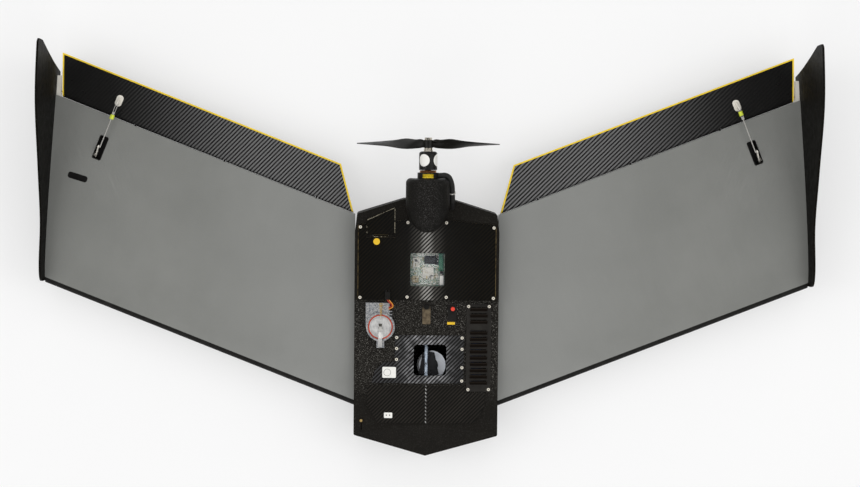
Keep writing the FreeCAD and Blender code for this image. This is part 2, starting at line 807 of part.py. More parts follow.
knuckles = []
for sign in (-1, 1):
    near = flap_middle_x + sign * (barrel_long / 2 + knuckle_gap)
    far = near + sign * knuckle_long
    post = block(
        (min(near, far), flap_axis_y - flap_barrel_radius, ridge_z),
        (max(near, far), flap_axis_y + flap_barrel_radius, flap_axis_z),
    )
    barrel = rod(flap_barrel_radius, (near, flap_axis_y, flap_axis_z), (far, flap_axis_y, flap_axis_z))
    knuckles.append(post.fuse(barrel))
deck = join([deck] + knuckles).cut(flap_pin)

hatch_notch = block(
    (flap_x0 - flap_margin, flap_axis_y - flap_barrel_radius - flap_margin, ridge_z - 1),
    (flap_x1 + flap_margin, tail_y, ridge_z + 5),
)
pod_notch = pod_form(-0.5, ridge_z - 1)
window_opening = rounded_face(
    plan(
        [
            (window_x0, window_y0),
            (window_x1, window_y0),
            (window_x1, window_y1),
            (window_x0, window_y1),
        ]
    ),
    2.5,
)
window_hole = standing(window_opening, ridge_z - 1, ridge_z + 5)
rear_hatch = rear_hatch.cut([hatch_notch, pod_notch, window_hole] + rear_screws)
pieces["rear_hatch"] = rear_hatch
pieces["electronics_window"] = standing(window_opening, ridge_z, ridge_z + window_thickness)

# ---- Camera hatch and its window ----
camera_hatch_ring = plan(
    [
        (-45.5, -20.5),
        (54.7, -20.5),
        (54.7, -90.5),
        (-79.5, -90.5),
        (-75.0, -74.0),
        (-63.0, -61.0),
        (-45.5, -59.5),
    ]
)
camera_hatch_prism = standing(rounded_face(camera_hatch_ring, 1.2), 0, 2 * ridge_z)
camera_window_ring = plan(
    [
        (camera_window_x0, camera_window_y0),
        (camera_window_x1, camera_window_y0),
        (camera_window_x1, camera_window_y1),
        (camera_window_x0, camera_window_y1),
    ]
)
camera_window_prism = standing(rounded_face(camera_window_ring, 5.0), 0, 2 * ridge_z)
front_reach = (2 * nose_y, deck_step_y)
camera_screws = []
for x, y in ((-43.0, -24.0), (-43.0, -40.0), (-43.0, -56.0)):
    camera_screws.append(on_deck(screw(x, y, hatch_thickness), False))
for x, y in ((52.3, -24.0), (52.3, -40.5), (52.3, -67.5), (52.3, -87.0)):
    camera_screws.append(on_deck(screw(x, y, hatch_thickness), True))
camera_hatch = camera_hatch_prism.common(gable_slab(0, hatch_thickness, *front_reach))
pieces["camera_hatch"] = camera_hatch.cut([camera_window_prism] + camera_screws)
pieces["camera_window"] = camera_window_prism.common(gable_slab(0, window_thickness, *front_reach))

# ---- Vent plate with two banks of louvres ----
vent_x0 = vent_centre_x - vent_width / 2
vent_x1 = vent_centre_x + vent_width / 2
vent_y0 = vent_centre_y - vent_length / 2
vent_y1 = vent_centre_y + vent_length / 2
vent_ring = plan([(vent_x0, vent_y0), (vent_x1, vent_y0), (vent_x1, vent_y1), (vent_x0, vent_y1)])
vent_sheet = standing(rounded_face(vent_ring, 2.0), 0, hatch_thickness)
louvre_depth = 5.6
louvre_skin = 0.9
louvre_rows = [17.4 - 9.3 * row for row in range(3)] + [-17.0 - 9.15 * row for row in range(9)]


def louvre_wedge(y, inset):
    """Hood that rises towards the tail, drawn in by an inset."""
    low_y = y - louvre_depth / 2 + inset
    high_y = y + louvre_depth / 2 + (1.0 if inset > 0 else 0.0)
    left_x = vent_centre_x - louvre_width / 2 + inset
    top = hatch_thickness + louvre_rise - inset
    ring = [(low_y, -1.0), (high_y, -1.0), (high_y, top), (low_y, hatch_thickness - inset)]
    if inset == 0:
        ring = [(low_y, hatch_thickness), (high_y, hatch_thickness), (high_y, top)]
    return polygon_face(side(ring, left_x)).extrude(Vector(louvre_width - 2 * inset, 0, 0))


vent_solid = join([vent_sheet] + [louvre_wedge(y, 0) for y in louvre_rows])
vent_solid = vent_solid.cut([louvre_wedge(y, louvre_skin) for y in louvre_rows])
vent_screws = []
for x in (vent_x0 + 3.0, vent_x1 - 3.0):
    for y in (vent_y0 + 3.0, vent_y1 - 3.0):
        vent_screws.append(on_deck(screw(x, y, hatch_thickness), True))
pieces["vent_plate"] = on_deck(vent_solid, True).cut(vent_screws)

# ---- Front hatch, bent along the ridge ----
front_hatch_ring = plan(
    [
        (-85.5, -94.0),
        (vent_x0 - 1.5, -94.0),
        (vent_x0 - 1.5, vent_y0 - 2.0),
        (86.0, vent_y0 - 2.0),
        (86.0, -124.0),
        (70.0, -149.0),
        (-70.0, -149.0),
        (-86.0, -124.0),
    ]
)
front_hatch_prism = standing(rounded_face(front_hatch_ring, 1.5), 0, 2 * ridge_z)
pieces["front_hatch"] = front_hatch_prism.common(gable_slab(0, hatch_thickness, *front_reach))

# ---- Turning release drum, on the right of the deck ----
drum_x = -66.7
drum_y = -8.5
drum_rim_radius = 20.9
drum_rim_inner = 18.4
drum_band_outer = 17.9
drum_band_inner = 16.5
drum_disc_radius = 16.1
drum_base = 2.4
drum_rim_top = 5.4
drum_disc_lift = 0.4
drum_disc_thickness = 2.4
drum_lever_thickness = 1.5
drum_lever_width = 5.6
drum_lever_reach = 29.5
drum_stub_half_width = 5.6
drum_stub_reach = 30.5
drum_pivot_radius = 5.0
drum_pivot_sink = 1.9
drive_hole = (5.8, 5.4)
drive_hole_y = drum_y - 3.0

base_block = block((-88.5, drum_y, 0), (-54.0, 26.5, drum_base))
base_disc = rod(drum_rim_radius, (drum_x, drum_y, 0), (drum_x, drum_y, drum_rim_top))
stub = block(
    (drum_x - drum_stub_half_width, drum_y - drum_stub_reach, 0),
    (drum_x + drum_stub_half_width, drum_y, drum_rim_top - 0.8),
)
cup_room = rod(drum_rim_inner, (drum_x, drum_y, drum_base), (drum_x, drum_y, drum_rim_top + 1))
top_block = block((-86.5, 13.0, 0), (-56.0, 26.5, 4.0))
label_pocket = block((-83.5, 15.0, 3.2), (-76.5, 24.5, 5.0))
fins = [block((-54.5, y, 0), (-50.0, y + 1.6, 4.2)) for y in (4.5, 8.8, 13.2)]
bosses = [rod(2.6, (x, 20.0, 4.0), (x, 20.0, 4.9)) for x in (-72.5, -60.0)]
drum_bore_radius = drum_pivot_radius + running_clearance
drum_pivot_bore = rod(drum_bore_radius, (drum_x, drum_y, -1), (drum_x, drum_y, drum_base + 1))
drum_plate = join([base_block, base_disc, stub, top_block] + fins + bosses)
drum_plate = drum_plate.cut([cup_room, label_pocket, drum_pivot_bore])
band = rod(drum_band_outer, (drum_x, drum_y, drum_base), (drum_x, drum_y, drum_rim_top - 0.6))
band = band.cut(rod(drum_band_inner, (drum_x, drum_y, 0), (drum_x, drum_y, ridge_z)))
pieces["release_plate"] = on_deck(group([drum_plate, band]), False)

disc_z0 = drum_base + drum_disc_lift
disc_z1 = disc_z0 + drum_disc_thickness
lever_z0 = drum_rim_top + drum_disc_lift
disc = rod(drum_disc_radius, (drum_x, drum_y, disc_z0), (drum_x, drum_y, disc_z1))
disc_crown = rod(drum_disc_radius - 2.0, (drum_x, drum_y, disc_z0), (drum_x, drum_y, lever_z0 + 0.2))
lever = block(
    (drum_x - drum_lever_width / 2, drum_y - drum_lever_reach, lever_z0),
    (drum_x + drum_lever_width / 2, drum_y, lever_z0 + drum_lever_thickness),
)
pivot = rod(drum_pivot_radius, (drum_x, drum_y, drum_base - drum_pivot_sink), (drum_x, drum_y, disc_z0))
hole_x, hole_y = drive_hole
square_hole = block(
    (drum_x - hole_x / 2, drive_hole_y - hole_y / 2, disc_z0 + 0.8),
    (drum_x + hole_x / 2, drive_hole_y + hole_y / 2, lever_z0 + 5),
)
pieces["release_dial"] = on_deck(join([disc, disc_crown, lever, pivot]).cut(square_hole), False)

# ---- Power plug and its short lead to the drum ----
plug_body = block((-60.5, 31.5, ridge_z + hatch_thickness), (-53.0, 43.0, ridge_z + hatch_thickness + 5.5))
plug_body = plug_body.makeFillet(0.8, plug_body.Edges)
plug_pins = [
    rod(0.8, (x, 43.0 - 2.5, ridge_z + hatch_thickness + 3.2), (x, 45.5, ridge_z + hatch_thickness + 3.2))
    for x in (-58.8, -54.7)
]
pieces["power_plug"] = group([plug_body.cut(plug_pins)] + plug_pins)

plug_lead_radius = 0.75
red_route = [
    (-58.3, 33.0, ridge_z + 4.6),
    (-55.0, 28.0, ridge_z + 4.0),
    (-51.6, 25.0, ridge_z + 1.2),
    (-50.8, 22.0, ridge_z - 0.6),
    (-55.0, 19.6, ridge_z - 1.6),
]
orange_route = [
    (-56.3, 33.4, ridge_z + 4.6),
    (-52.8, 28.8, ridge_z + 4.0),
    (-49.2, 25.0, ridge_z + 1.2),
    (-48.6, 20.4, ridge_z - 0.6),
    (-55.0, 17.2, ridge_z - 1.6),
]
plug_leads = [tube_along(route, plug_lead_radius) for route in (red_route, orange_route)]
pieces["power_lead"] = group(plug_leads)
pieces["power_plug"] = group([solid.cut(plug_leads) for solid in pieces["power_plug"].Solids])
pieces["release_plate"] = group([solid.cut(plug_leads) for solid in pieces["release_plate"].Solids])

# ---- Latch strip and its turning knob, on the ridge ----
latch_knob_y = 21.5
latch_knob_radius = 3.8
latch_knob_height = 6.0
latch_stem_radius = 1.5
latch_sink = 5.0
strip_thickness = 1.1
strip_ring = plan([(-5.9, -4.0), (5.9, -4.0), (5.9, 28.0), (-5.9, 28.0)])
strip = standing(rounded_face(strip_ring, 1.5), 0, 2 * ridge_z)
strip = strip.common(gable_slab(0, strip_thickness, *front_reach))
stem_bore = rod(latch_stem_radius + running_clearance, (0, latch_knob_y, 0), (0, latch_knob_y, 2 * ridge_z))
knob_z = ridge_z + strip_thickness + 0.1
knob = rod(latch_knob_radius, (0, latch_knob_y, knob_z), (0, latch_knob_y, knob_z + latch_knob_height))
knob = knob.makeFillet(1.0, [knob.Edges[0]])
grip_cuts = []
for grip in range(10):
    angle = math.radians(36 * grip)
    grip_x = (latch_knob_radius + 0.3) * math.cos(angle)
    grip_y = latch_knob_y + (latch_knob_radius + 0.3) * math.sin(angle)
    grip_end = (grip_x, grip_y, knob_z + latch_knob_height - 1.4)
    grip_cuts.append(rod(0.7, (grip_x, grip_y, knob_z - 1), grip_end))
stem_foot = (0, latch_knob_y, ridge_z - latch_sink)
latch_stem = rod(latch_stem_radius, stem_foot, (0, latch_knob_y, knob_z))
latch_tail = rod(latch_stem_radius + 1.2, (0, latch_knob_y, ridge_z - latch_sink - 1.0), stem_foot)
pieces["latch_knob"] = join([knob.cut(grip_cuts), latch_stem, latch_tail])
pieces["latch_strip"] = strip.cut(stem_bore)

# ---- Launch button on its small plate ----
button_x = 38.0
button_y = 18.5
button_radius = 3.0
button_travel = 1.6
button_stand = 3.6
button_sink = 3.0
button_plate_top = 1.6
bezel_radius = 4.3
bezel_top = 2.8
button_plate = block((button_x - 7.0, -0.5, 0), (button_x + 5.5, 25.0, button_plate_top))
bezel = rod(bezel_radius, (button_x, button_y, button_plate_top), (button_x, button_y, bezel_top))
button_bore_radius = button_radius + running_clearance
button_bore = rod(button_bore_radius, (button_x, button_y, -button_sink - 1), (button_x, button_y, 9))
cap_foot = (button_x, button_y, -button_sink + button_travel)
cap = rod(button_radius, cap_foot, (button_x, button_y, bezel_top + button_stand))
cap = cap.makeFillet(0.8, [cap.Edges[0]])
pieces["launch_button"] = on_deck(cap, True)
pieces["button_plate"] = on_deck(group([button_plate.cut(button_bore), bezel.cut(button_bore)]), True)
button_pocket = rod(button_bore_radius, (button_x, button_y, -button_sink), (button_x, button_y, 1))

# ---- Brass hook pin near the nose ----
hook_x = -94.0
hook_y = -146.0
hook = rod(1.4, (hook_x, hook_y, -3.5), (hook_x, hook_y, 3.6))
hook = hook.fuse(rod(2.0, (hook_x, hook_y, 3.6), (hook_x, hook_y, 4.8)))
hook = on_deck(hook.removeSplitter(), False)
pieces["hook_pin"] = hook

all_deck_screws = rear_screws + camera_screws + vent_screws
pieces["deck_screws"] = group(all_deck_screws)
drum_pocket = rod(drum_bore_radius, (drum_x, drum_y, -0.5), (drum_x, drum_y, 1))
stem_room_top = (0, latch_knob_y, ridge_z - shell_wall + 1.0)
stem_room = rod(latch_stem_radius + 1.6, (0, latch_knob_y, chord_plane_z), stem_room_top)
deck = deck.cut(all_deck_screws + [hook, stem_bore, stem_room, sleeve] + plug_leads)
deck = deck.cut([on_deck(button_pocket, True), on_deck(drum_pocket, False)])
pieces["top_deck"] = deck


# ---- Wing panel ----
def half_thickness(share):
    """Half the wing's thickness at a share of the chord behind the nose."""
    bulge = 0.2969 * math.sqrt(share) - 0.1260 * share - 0.3516 * share ** 2
    bulge += 0.2843 * share ** 3 - 0.1015 * share ** 4
    return 5 * wing_thickness_share * wing_chord * bulge


hinge_share = (hinge_y - wing_front_y) / wing_chord
elevon_nose_radius = half_thickness(hinge_share)
wing_end_y = hinge_y - (elevon_nose_radius + nose_gap) / math.cos(sweep)
wing_end_share = (wing_end_y - wing_front_y) / wing_chord


def wing_section(x, lift):
    """Wing section from its nose to the flat wall in front of the elevon."""
    shift = wing_front_y + sweep_rise * x
    steps = 12
    upper = []
    for step in range(steps, 0, -1):
        share = wing_end_share * (1 - math.cos(math.pi / 2 * step / steps))
        upper.append((share, half_thickness(share)))
    points = upper + [(0.0, 0.0)] + [(share, -half) for share, half in reversed(upper)]
    curve = Part.BSplineCurve()
    middle_z = chord_plane_z + lift
    curve.interpolate([Vector(x, shift + wing_chord * share, middle_z + z) for share, z in points])
    edge = curve.toShape()
    wall = Part.makeLine(edge.valueAt(edge.LastParameter), edge.valueAt(edge.FirstParameter))
    return Part.Face(Part.Wire([edge, wall]))


def wing_prism(lift):
    start_x = fuselage_half_width
    run = tip_anchor_x + 30.0 - start_x
    return wing_section(start_x, lift).extrude(Vector(run, sweep_rise * run, 0))


big = 400.0
outside_tip = on_tip(block((0, -big, -big), (big, big, big)))
wing_whole = wing_prism(0).cut(outside_tip)
strip_rear_y = wing_front_y + sweep_rise * fuselage_half_width + wing_nose_strip
strip_reach = tip_anchor_x + 60.0 - fuselage_half_width
nose_zone_ring = plan(
    [
        (fuselage_half_width - 1.0, strip_rear_y - sweep_rise - 3 * wing_nose_strip),
        (fuselage_half_width - 1.0, strip_rear_y - sweep_rise),
        (fuselage_half_width + strip_reach, strip_rear_y + sweep_rise * strip_reach),
        (fuselage_half_width + strip_reach, strip_rear_y + sweep_rise * strip_reach - 4 * wing_nose_strip),
    ]
)
nose_zone = standing(polygon_face(nose_zone_ring), -ridge_z, 2 * ridge_z)
nose_strip = wing_whole.common(nose_zone)
wing_core = wing_whole.cut(nose_zone)
pieces["leading_edge_strips"] = group([nose_strip, mirrored(nose_strip)])

# ---- Elevon, its tape edge, hinge lugs and pins ----
hinge_end_u = (elevon_tip_x + 60.0) / math.cos(sweep)


def elevon_plan(inset, behind):
    """Plan prism that bounds the elevon, drawn in at both ends, up to a distance behind the hinge."""
    lean = math.tan(math.radians(elevon_root_slant_deg))
    root_x = elevon_root_x + inset / math.cos(math.radians(elevon_root_slant_deg))
    root_hinge_y = hinge_y + sweep_rise * elevon_root_x
    ahead = 4 * elevon_nose_radius
    past = 3 * elevon_chord
    tip_x = elevon_tip_x - inset
    ring = [
        (root_x - ahead * lean, root_hinge_y - ahead),
        (root_x + past * lean, root_hinge_y + past),
        (tip_x, hinge_y + sweep_rise * tip_x + past),
        (tip_x, hinge_y + sweep_rise * tip_x - ahead),
    ]
    ends = standing(polygon_face(plan(ring)), -ridge_z, 3 * ridge_z)
    strip = block((-hinge_end_u, -elevon_chord, -ridge_z), (hinge_end_u, behind, ridge_z))
    return ends.common(on_hinge(strip))


def elevon_belt():
    """Round nose on the hinge line, tapering to a rounded rear edge."""
    rear_v = elevon_chord - elevon_edge_radius
    taper = math.asin((elevon_nose_radius - elevon_edge_radius) / rear_v)
    sine = math.sin(taper)
    cosine = math.cos(taper)
    nose = elevon_nose_radius
    edge = elevon_edge_radius
    nose_top = Vector(0, nose * sine, nose * cosine)
    nose_low = Vector(0, nose * sine, -nose * cosine)
    rear_top = Vector(0, rear_v + edge * sine, edge * cosine)
    rear_low = Vector(0, rear_v + edge * sine, -edge * cosine)
    edges = [
        Part.Arc(nose_low, Vector(0, -nose, 0), nose_top).toShape(),
        Part.LineSegment(nose_top, rear_top).toShape(),
        Part.Arc(rear_top, Vector(0, rear_v + edge, 0), rear_low).toShape(),
        Part.LineSegment(rear_low, nose_low).toShape(),
    ]
    return on_hinge(Part.Face(Part.Wire(edges)).extrude(Vector(hinge_end_u, 0, 0))), taper


belt, elevon_taper = elevon_belt()
elevon_whole = belt.common(elevon_plan(0, 2 * elevon_chord))
elevon_inner = belt.common(elevon_plan(elevon_tape_width, elevon_chord - elevon_tape_width))
tape = elevon_whole.cut(elevon_inner)

lug_wall_v = -(elevon_nose_radius + nose_gap)
lugs = []
lug_slots = []
hinge_pins = []
pin_bores = []
for station in hinge_stations:
    u = station / math.cos(sweep)
    half = lug_width / 2
    arm_low = (u - half, lug_wall_v - lug_depth, -lug_arm_half_height)
    arm = block(arm_low, (u + half, 0, lug_arm_half_height))
    eye = rod(lug_radius, (u - half, 0, 0), (u + half, 0, 0))
    lugs.append(on_hinge(arm.fuse(eye).removeSplitter()))
    slot_half = half + lug_slot_gap
    slot_low = (u - slot_half, -2 * elevon_nose_radius, -lug_slot_half_height)
    slot_high = (u + slot_half, lug_radius + lug_slot_gap, lug_slot_half_height)
    lug_slots.append(on_hinge(block(slot_low, slot_high)))
    ends = ((u - hinge_pin_length / 2, 0, 0), (u + hinge_pin_length / 2, 0, 0))
    hinge_pins.append(on_hinge(rod(hinge_pin_radius, *ends)))
    pin_bores.append(on_hinge(rod(hinge_pin_radius + running_clearance, *ends)))

tip_x0 = elevon_tip_x + tip_bearing_gap
tip_wall_y = wing_end_y + sweep_rise * tip_x0
tip_block = block(
    (tip_x0, tip_wall_y - 20.0, chord_plane_z - tip_bearing_half_height),
    (tip_x0 + 60.0, tip_wall_y + tip_bearing_length, chord_plane_z + tip_bearing_half_height),
)
tip_block = tip_block.cut([outside_tip, wing_prism(0)])
tip_block = max(tip_block.Solids, key=lambda solid: solid.Volume)
tip_u = tip_x0 / math.cos(sweep)
tip_pin_reach = 4.0
tip_pin_ends = ((tip_u - 14.0, 0, 0), (tip_u + tip_pin_reach, 0, 0))
tip_pin = on_hinge(rod(hinge_pin_radius, *tip_pin_ends))
tip_bore = on_hinge(rod(hinge_pin_radius + running_clearance, *tip_pin_ends))
hinge_pins.append(tip_pin)
pin_bores.append(tip_bore)
lugs.append(tip_block)

elevon_cuts = lug_slots + pin_bores
elevon_core = elevon_inner.cut(elevon_cuts)
tape = tape.cut(elevon_cuts)
fixed_lugs = [lug.cut(hinge_pins) for lug in lugs]
wing_core = wing_core.cut(lugs)
pieces["hinge_lugs"] = group(fixed_lugs + [mirrored(lug) for lug in fixed_lugs])
pieces["hinge_pins"] = group(hinge_pins + [mirrored(pin) for pin in hinge_pins] + [flap_pin])


# ---- Control horn, on the elevon's upper face ----
def elevon_top(v):
    return (elevon_nose_radius - v * math.sin(elevon_taper)) / math.cos(elevon_taper)


horn_base_front = 10.5
horn_base_rear = 27.0
horn_base_half_width = 5.0
horn_base_corner = 4.4
horn_base_thickness = 1.6
horn_eye_radius = 2.9
base_side = [
    (horn_base_front, elevon_top(horn_base_front)),
    (horn_base_rear, elevon_top(horn_base_rear)),
    (horn_base_rear, elevon_top(horn_base_rear) + horn_base_thickness),
    (horn_base_front, elevon_top(horn_base_front) + horn_base_thickness),
]
base_u = link_u - horn_base_half_width
horn_base = polygon_face(side(base_side, base_u)).extrude(Vector(2 * horn_base_half_width, 0, 0))
base_ring = plan(
    [
        (link_u - horn_base_half_width, horn_base_front),
        (link_u + horn_base_half_width, horn_base_front),
        (link_u + horn_base_half_width, horn_base_rear),
        (link_u - horn_base_half_width, horn_base_rear),
    ]
)
horn_base = horn_base.common(standing(rounded_face(base_ring, horn_base_corner), 0, ridge_z))
web_side = [
    (horn_base_front + 1.0, elevon_top(horn_base_front + 1.0) + 0.2),
    (horn_base_rear - 3.0, elevon_top(horn_base_rear - 3.0) + 0.2),
    (horn_back + horn_eye_radius * 0.8, horn_rise + horn_eye_radius * 0.6),
    (horn_back - horn_eye_radius * 0.8, horn_rise - horn_eye_radius * 0.6),
]
web_u = link_u - horn_thickness / 2
horn_web = polygon_face(side(web_side, web_u)).extrude(Vector(horn_thickness, 0, 0))
horn_eye = rod(horn_eye_radius, (web_u, horn_back, horn_rise), (web_u + horn_thickness, horn_back, horn_rise))
horn_hole_radius = link_pin_radius + link_pin_clearance
horn_hole = rod(horn_hole_radius, (web_u - 5, horn_back, horn_rise), (web_u + 8, horn_back, horn_rise))
horn_screw_radius = 1.2
horn_screw_side = 2.6
horn_screws = []
for v in (horn_base_front + 3.0, horn_base_rear - 3.0):
    seat = elevon_top(v) + horn_base_thickness
    for u in (link_u - horn_screw_side, link_u + horn_screw_side):
        horn_screws.append(rod(horn_screw_radius, (u, v, seat - 0.4), (u, v, seat + 0.9)))
control_horn = join([horn_base, horn_web, horn_eye]).cut([horn_hole] + horn_screws)
control_horn = group([control_horn] + horn_screws)

# ---- Servo arm: equal and parallel to the horn ----
arm_pin_v = servo_axis_v + horn_back
arm_pin_w = servo_axis_w + horn_rise
arm_u0 = link_u + rod_radius + arm_side_gap
arm_u1 = arm_u0 + arm_thickness
arm_hub_radius = 3.4
arm_eye_radius = 2.2
spline_radius = 2.4
arm_hub = rod(arm_hub_radius, (arm_u0, servo_axis_v, servo_axis_w), (arm_u1, servo_axis_v, servo_axis_w))
arm_eye = rod(arm_eye_radius, (arm_u0, arm_pin_v, arm_pin_w), (arm_u1, arm_pin_v, arm_pin_w))
arm_angle = math.atan2(horn_rise, horn_back)
across_v = math.sin(arm_angle)
across_w = math.cos(arm_angle)
arm_side = [
    (servo_axis_v - arm_hub_radius * across_v, servo_axis_w + arm_hub_radius * across_w),
    (arm_pin_v - arm_eye_radius * across_v, arm_pin_w + arm_eye_radius * across_w),
    (arm_pin_v + arm_eye_radius * across_v, arm_pin_w - arm_eye_radius * across_w),
    (servo_axis_v + arm_hub_radius * across_v, servo_axis_w - arm_hub_radius * across_w),
]
arm_web = polygon_face(side(arm_side, arm_u0)).extrude(Vector(arm_thickness, 0, 0))
slot_u1 = link_u + slot_width / 2
servo_face_u = slot_u1
spline_end = (servo_face_u - 0.3, servo_axis_v, servo_axis_w)
spline = rod(spline_radius, (arm_u1, servo_axis_v, servo_axis_w), spline_end)
arm_hole = rod(horn_hole_radius, (arm_u0 - 1, arm_pin_v, arm_pin_w), (arm_u1 + 1, arm_pin_v, arm_pin_w))
servo_arm = join([arm_hub, arm_eye, arm_web, spline]).cut(arm_hole)

# ---- Servo, lying on its side beyond the slot ----
servo_front_v = servo_axis_v - servo_width / 2
servo_low_w = servo_axis_w - servo_width / 2
servo_body = block(
    (servo_face_u, servo_front_v, servo_low_w),
    (servo_face_u + servo_depth, servo_front_v + servo_length, servo_low_w + servo_width),
)
ear_reach = 4.5
ear_thickness = 2.4
ear_u = servo_face_u + 4.5
ear_low_inset = 1.5
ear_high_inset = 2.5
ear_top_w = servo_low_w + servo_width - ear_high_inset
servo_ears = block(
    (ear_u, servo_front_v - ear_reach, servo_low_w + ear_low_inset),
    (ear_u + ear_thickness, servo_front_v + servo_length + ear_reach, ear_top_w),
)
servo = servo_body.fuse(servo_ears).removeSplitter()

# ---- Slot liner: a black cup around the arm, open at the wing's top ----
slot_u0 = link_u - slot_width / 2
slot_v0 = servo_axis_v - arm_hub_radius - 1.8
slot_v1 = slot_v0 + slot_length
slot_w0 = servo_axis_w - slot_depth
slot_ring = plan([(slot_u0, slot_v0), (slot_u1, slot_v0), (slot_u1, slot_v1), (slot_u0, slot_v1)])
liner_outer = standing(rounded_face(slot_ring, slot_corner_radius), slot_w0, ridge_z)
room_u0 = slot_u0 + slot_wall
room_u1 = slot_u1 - slot_wall
room_v0 = slot_v0 + slot_wall
room_v1 = slot_v1 - slot_wall
room_ring = plan([(room_u0, room_v0), (room_u1, room_v0), (room_u1, room_v1), (room_u0, room_v1)])
room_face = rounded_face(room_ring, slot_corner_radius - slot_wall)
liner_inner = standing(room_face, slot_w0 + slot_wall, ridge_z + 5)
spline_hole = rod(
    spline_radius + 0.4,
    (slot_u1 - 2 * slot_wall, servo_axis_v, servo_axis_w),
    (slot_u1 + 1, servo_axis_v, servo_axis_w),
)
liner = on_hinge(liner_outer).common(wing_prism(0.5)).cut([on_hinge(liner_inner), on_hinge(spline_hole)])
wing_core = wing_core.cut([on_hinge(liner_outer), on_hinge(servo), main_rod, rear_rod])
pieces["servo_liners"] = group([liner, mirrored(liner)])

# ---- Pushrod: clevis on the horn, keeper, rod and a bent end in the arm ----
clevis_gap = 0.25
prong_thickness = 0.8
prong_half_height = 1.5
prong_length = 13.0
clevis_block_length = 4.0
slope = (arm_pin_w - horn_rise) / (horn_back - arm_pin_v)
rod_angle = math.degrees(math.atan(slope))
clevis_half = horn_thickness / 2 + clevis_gap + prong_thickness
keeper_radius = 3.1
keeper_length = 6.5


def pushrod(keeper_back):
    """Rod with its clevis; keeper_back is the keeper's distance from the horn's pin."""
    tilt = Rotation(Vector(1, 0, 0), -rod_angle)
    length = math.hypot(horn_back - arm_pin_v, arm_pin_w - horn_rise)
    prongs = []
    inner = horn_thickness / 2 + clevis_gap
    for low, high in ((-clevis_half, -inner), (inner, clevis_half)):
        low_corner = (low, -prong_length, -prong_half_height)
        high_corner = (high, 0, prong_half_height)
        prongs.append(block(low_corner, high_corner))
        prongs.append(rod(prong_half_height, (low, 0, 0), (high, 0, 0)))
    heel = block(
        (-clevis_half, -prong_length - clevis_block_length, -prong_half_height),
        (clevis_half, -prong_length, prong_half_height),
    )
    pin = rod(link_pin_radius, (-clevis_half, 0, 0), (clevis_half, 0, 0))
    wire = rod(rod_radius, (0, -length, 0), (0, -prong_length - 1, 0))
    knee = Part.makeSphere(rod_radius, Vector(0, -length, 0))
    bend = rod(rod_radius, (0, -length, 0), (arm_side_gap + arm_thickness + rod_radius + 0.8, -length, 0))
    body = join(prongs + [heel, pin, wire, knee, bend])
    keeper_start = (0, -keeper_back - keeper_length / 2, 0)
    outer = rod(keeper_radius, keeper_start, (0, -keeper_back + keeper_length / 2, 0))
    parts = [body, outer.cut(body)]
    placed = []
    for part in parts:
        for solid in part.Solids:
            moved = solid.copy()
            moved.Placement = Placement(Vector(link_u, horn_back, horn_rise), tilt).multiply(moved.Placement)
            placed.append(on_hinge(moved))
    return group(placed)


pieces["left_pushrod"] = pushrod(7.6)
pieces["right_pushrod"] = mirrored(pushrod(prong_length + clevis_block_length + 3.5))


# ---- Winglet: a flat plate with a swept upper edge ----
def winglet_plate():
    tip_front = wing_front_y + sweep_rise * tip_anchor_x - tip_anchor_y + 6.0
    edge_shares = ((0.0, 20.0), (4.0, 33.0), (18.0, 42.5), (74.0, 52.0), (141.0, 82.0), (193.0, 110.0))
    edge_shares += ((274.0, 149.0), (320.0, 156.5), (348.0, winglet_top))
    crest = [Vector(0, tip_front + back, up) for back, up in edge_shares]
    curve = Part.BSplineCurve()
    curve.interpolate(crest)
    rear = [(352.0, winglet_top - 6.0), (350.0, 128.0), (335.0, 84.0), (320.0, 36.0), (312.0, 6.0)]
    rear += [(306.0, -winglet_foot)]
    rear_points = [Vector(0, tip_front + back, up) for back, up in rear]
    low_front = [Vector(0, tip_front + 12.0, -winglet_foot), Vector(0, tip_front, -winglet_foot * 0.5)]
    rim = Part.makePolygon([crest[-1]] + rear_points + low_front + [crest[0]])
    face = Part.Face(Part.Wire([curve.toShape()] + rim.Edges))
    return face.extrude(Vector(winglet_thickness, 0, 0))


winglet_screw_places = (-90.0, -20.0, 60.0)
tip_screws = []
for back in winglet_screw_places:
    head = rod(3.0, (winglet_thickness, back, 0), (winglet_thickness + 1.4, back, 0))
    head = head.makeFillet(0.7, [head.Edges[0]])
    shank = rod(1.5, (-12.0, back, 0), (winglet_thickness, back, 0))
    tip_screws.append(on_tip(head.fuse(shank).removeSplitter()))
winglet = on_tip(winglet_plate()).cut(tip_screws)
wing_core = wing_core.cut(tip_screws)
pieces["winglet_screws"] = group(tip_screws + [mirrored(bolt) for bolt in tip_screws])

# ---- Both sides ----
side_shapes = {
    "wing_panel": wing_core,
    "elevon": elevon_core,
    "elevon_tape": tape,
    "control_horn": on_hinge(control_horn),
    "servo": on_hinge(servo),
    "servo_arm": on_hinge(servo_arm),
    "winglet": winglet,
}
for name, shape in side_shapes.items():
    pieces["left_" + name] = shape
    pieces["right_" + name] = mirrored(shape)

# ---- Files ----
os.makedirs("parts", exist_ok=True)
for name, shape in pieces.items():
    if len(shape.Solids) == 1:
        shape = shape.Solids[0]
    shape.exportStep("parts/" + name + ".step")
print(len(pieces), "nodes")
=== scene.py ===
import math
import random

import bpy
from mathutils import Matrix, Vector
from mathutils.bvhtree import BVHTree


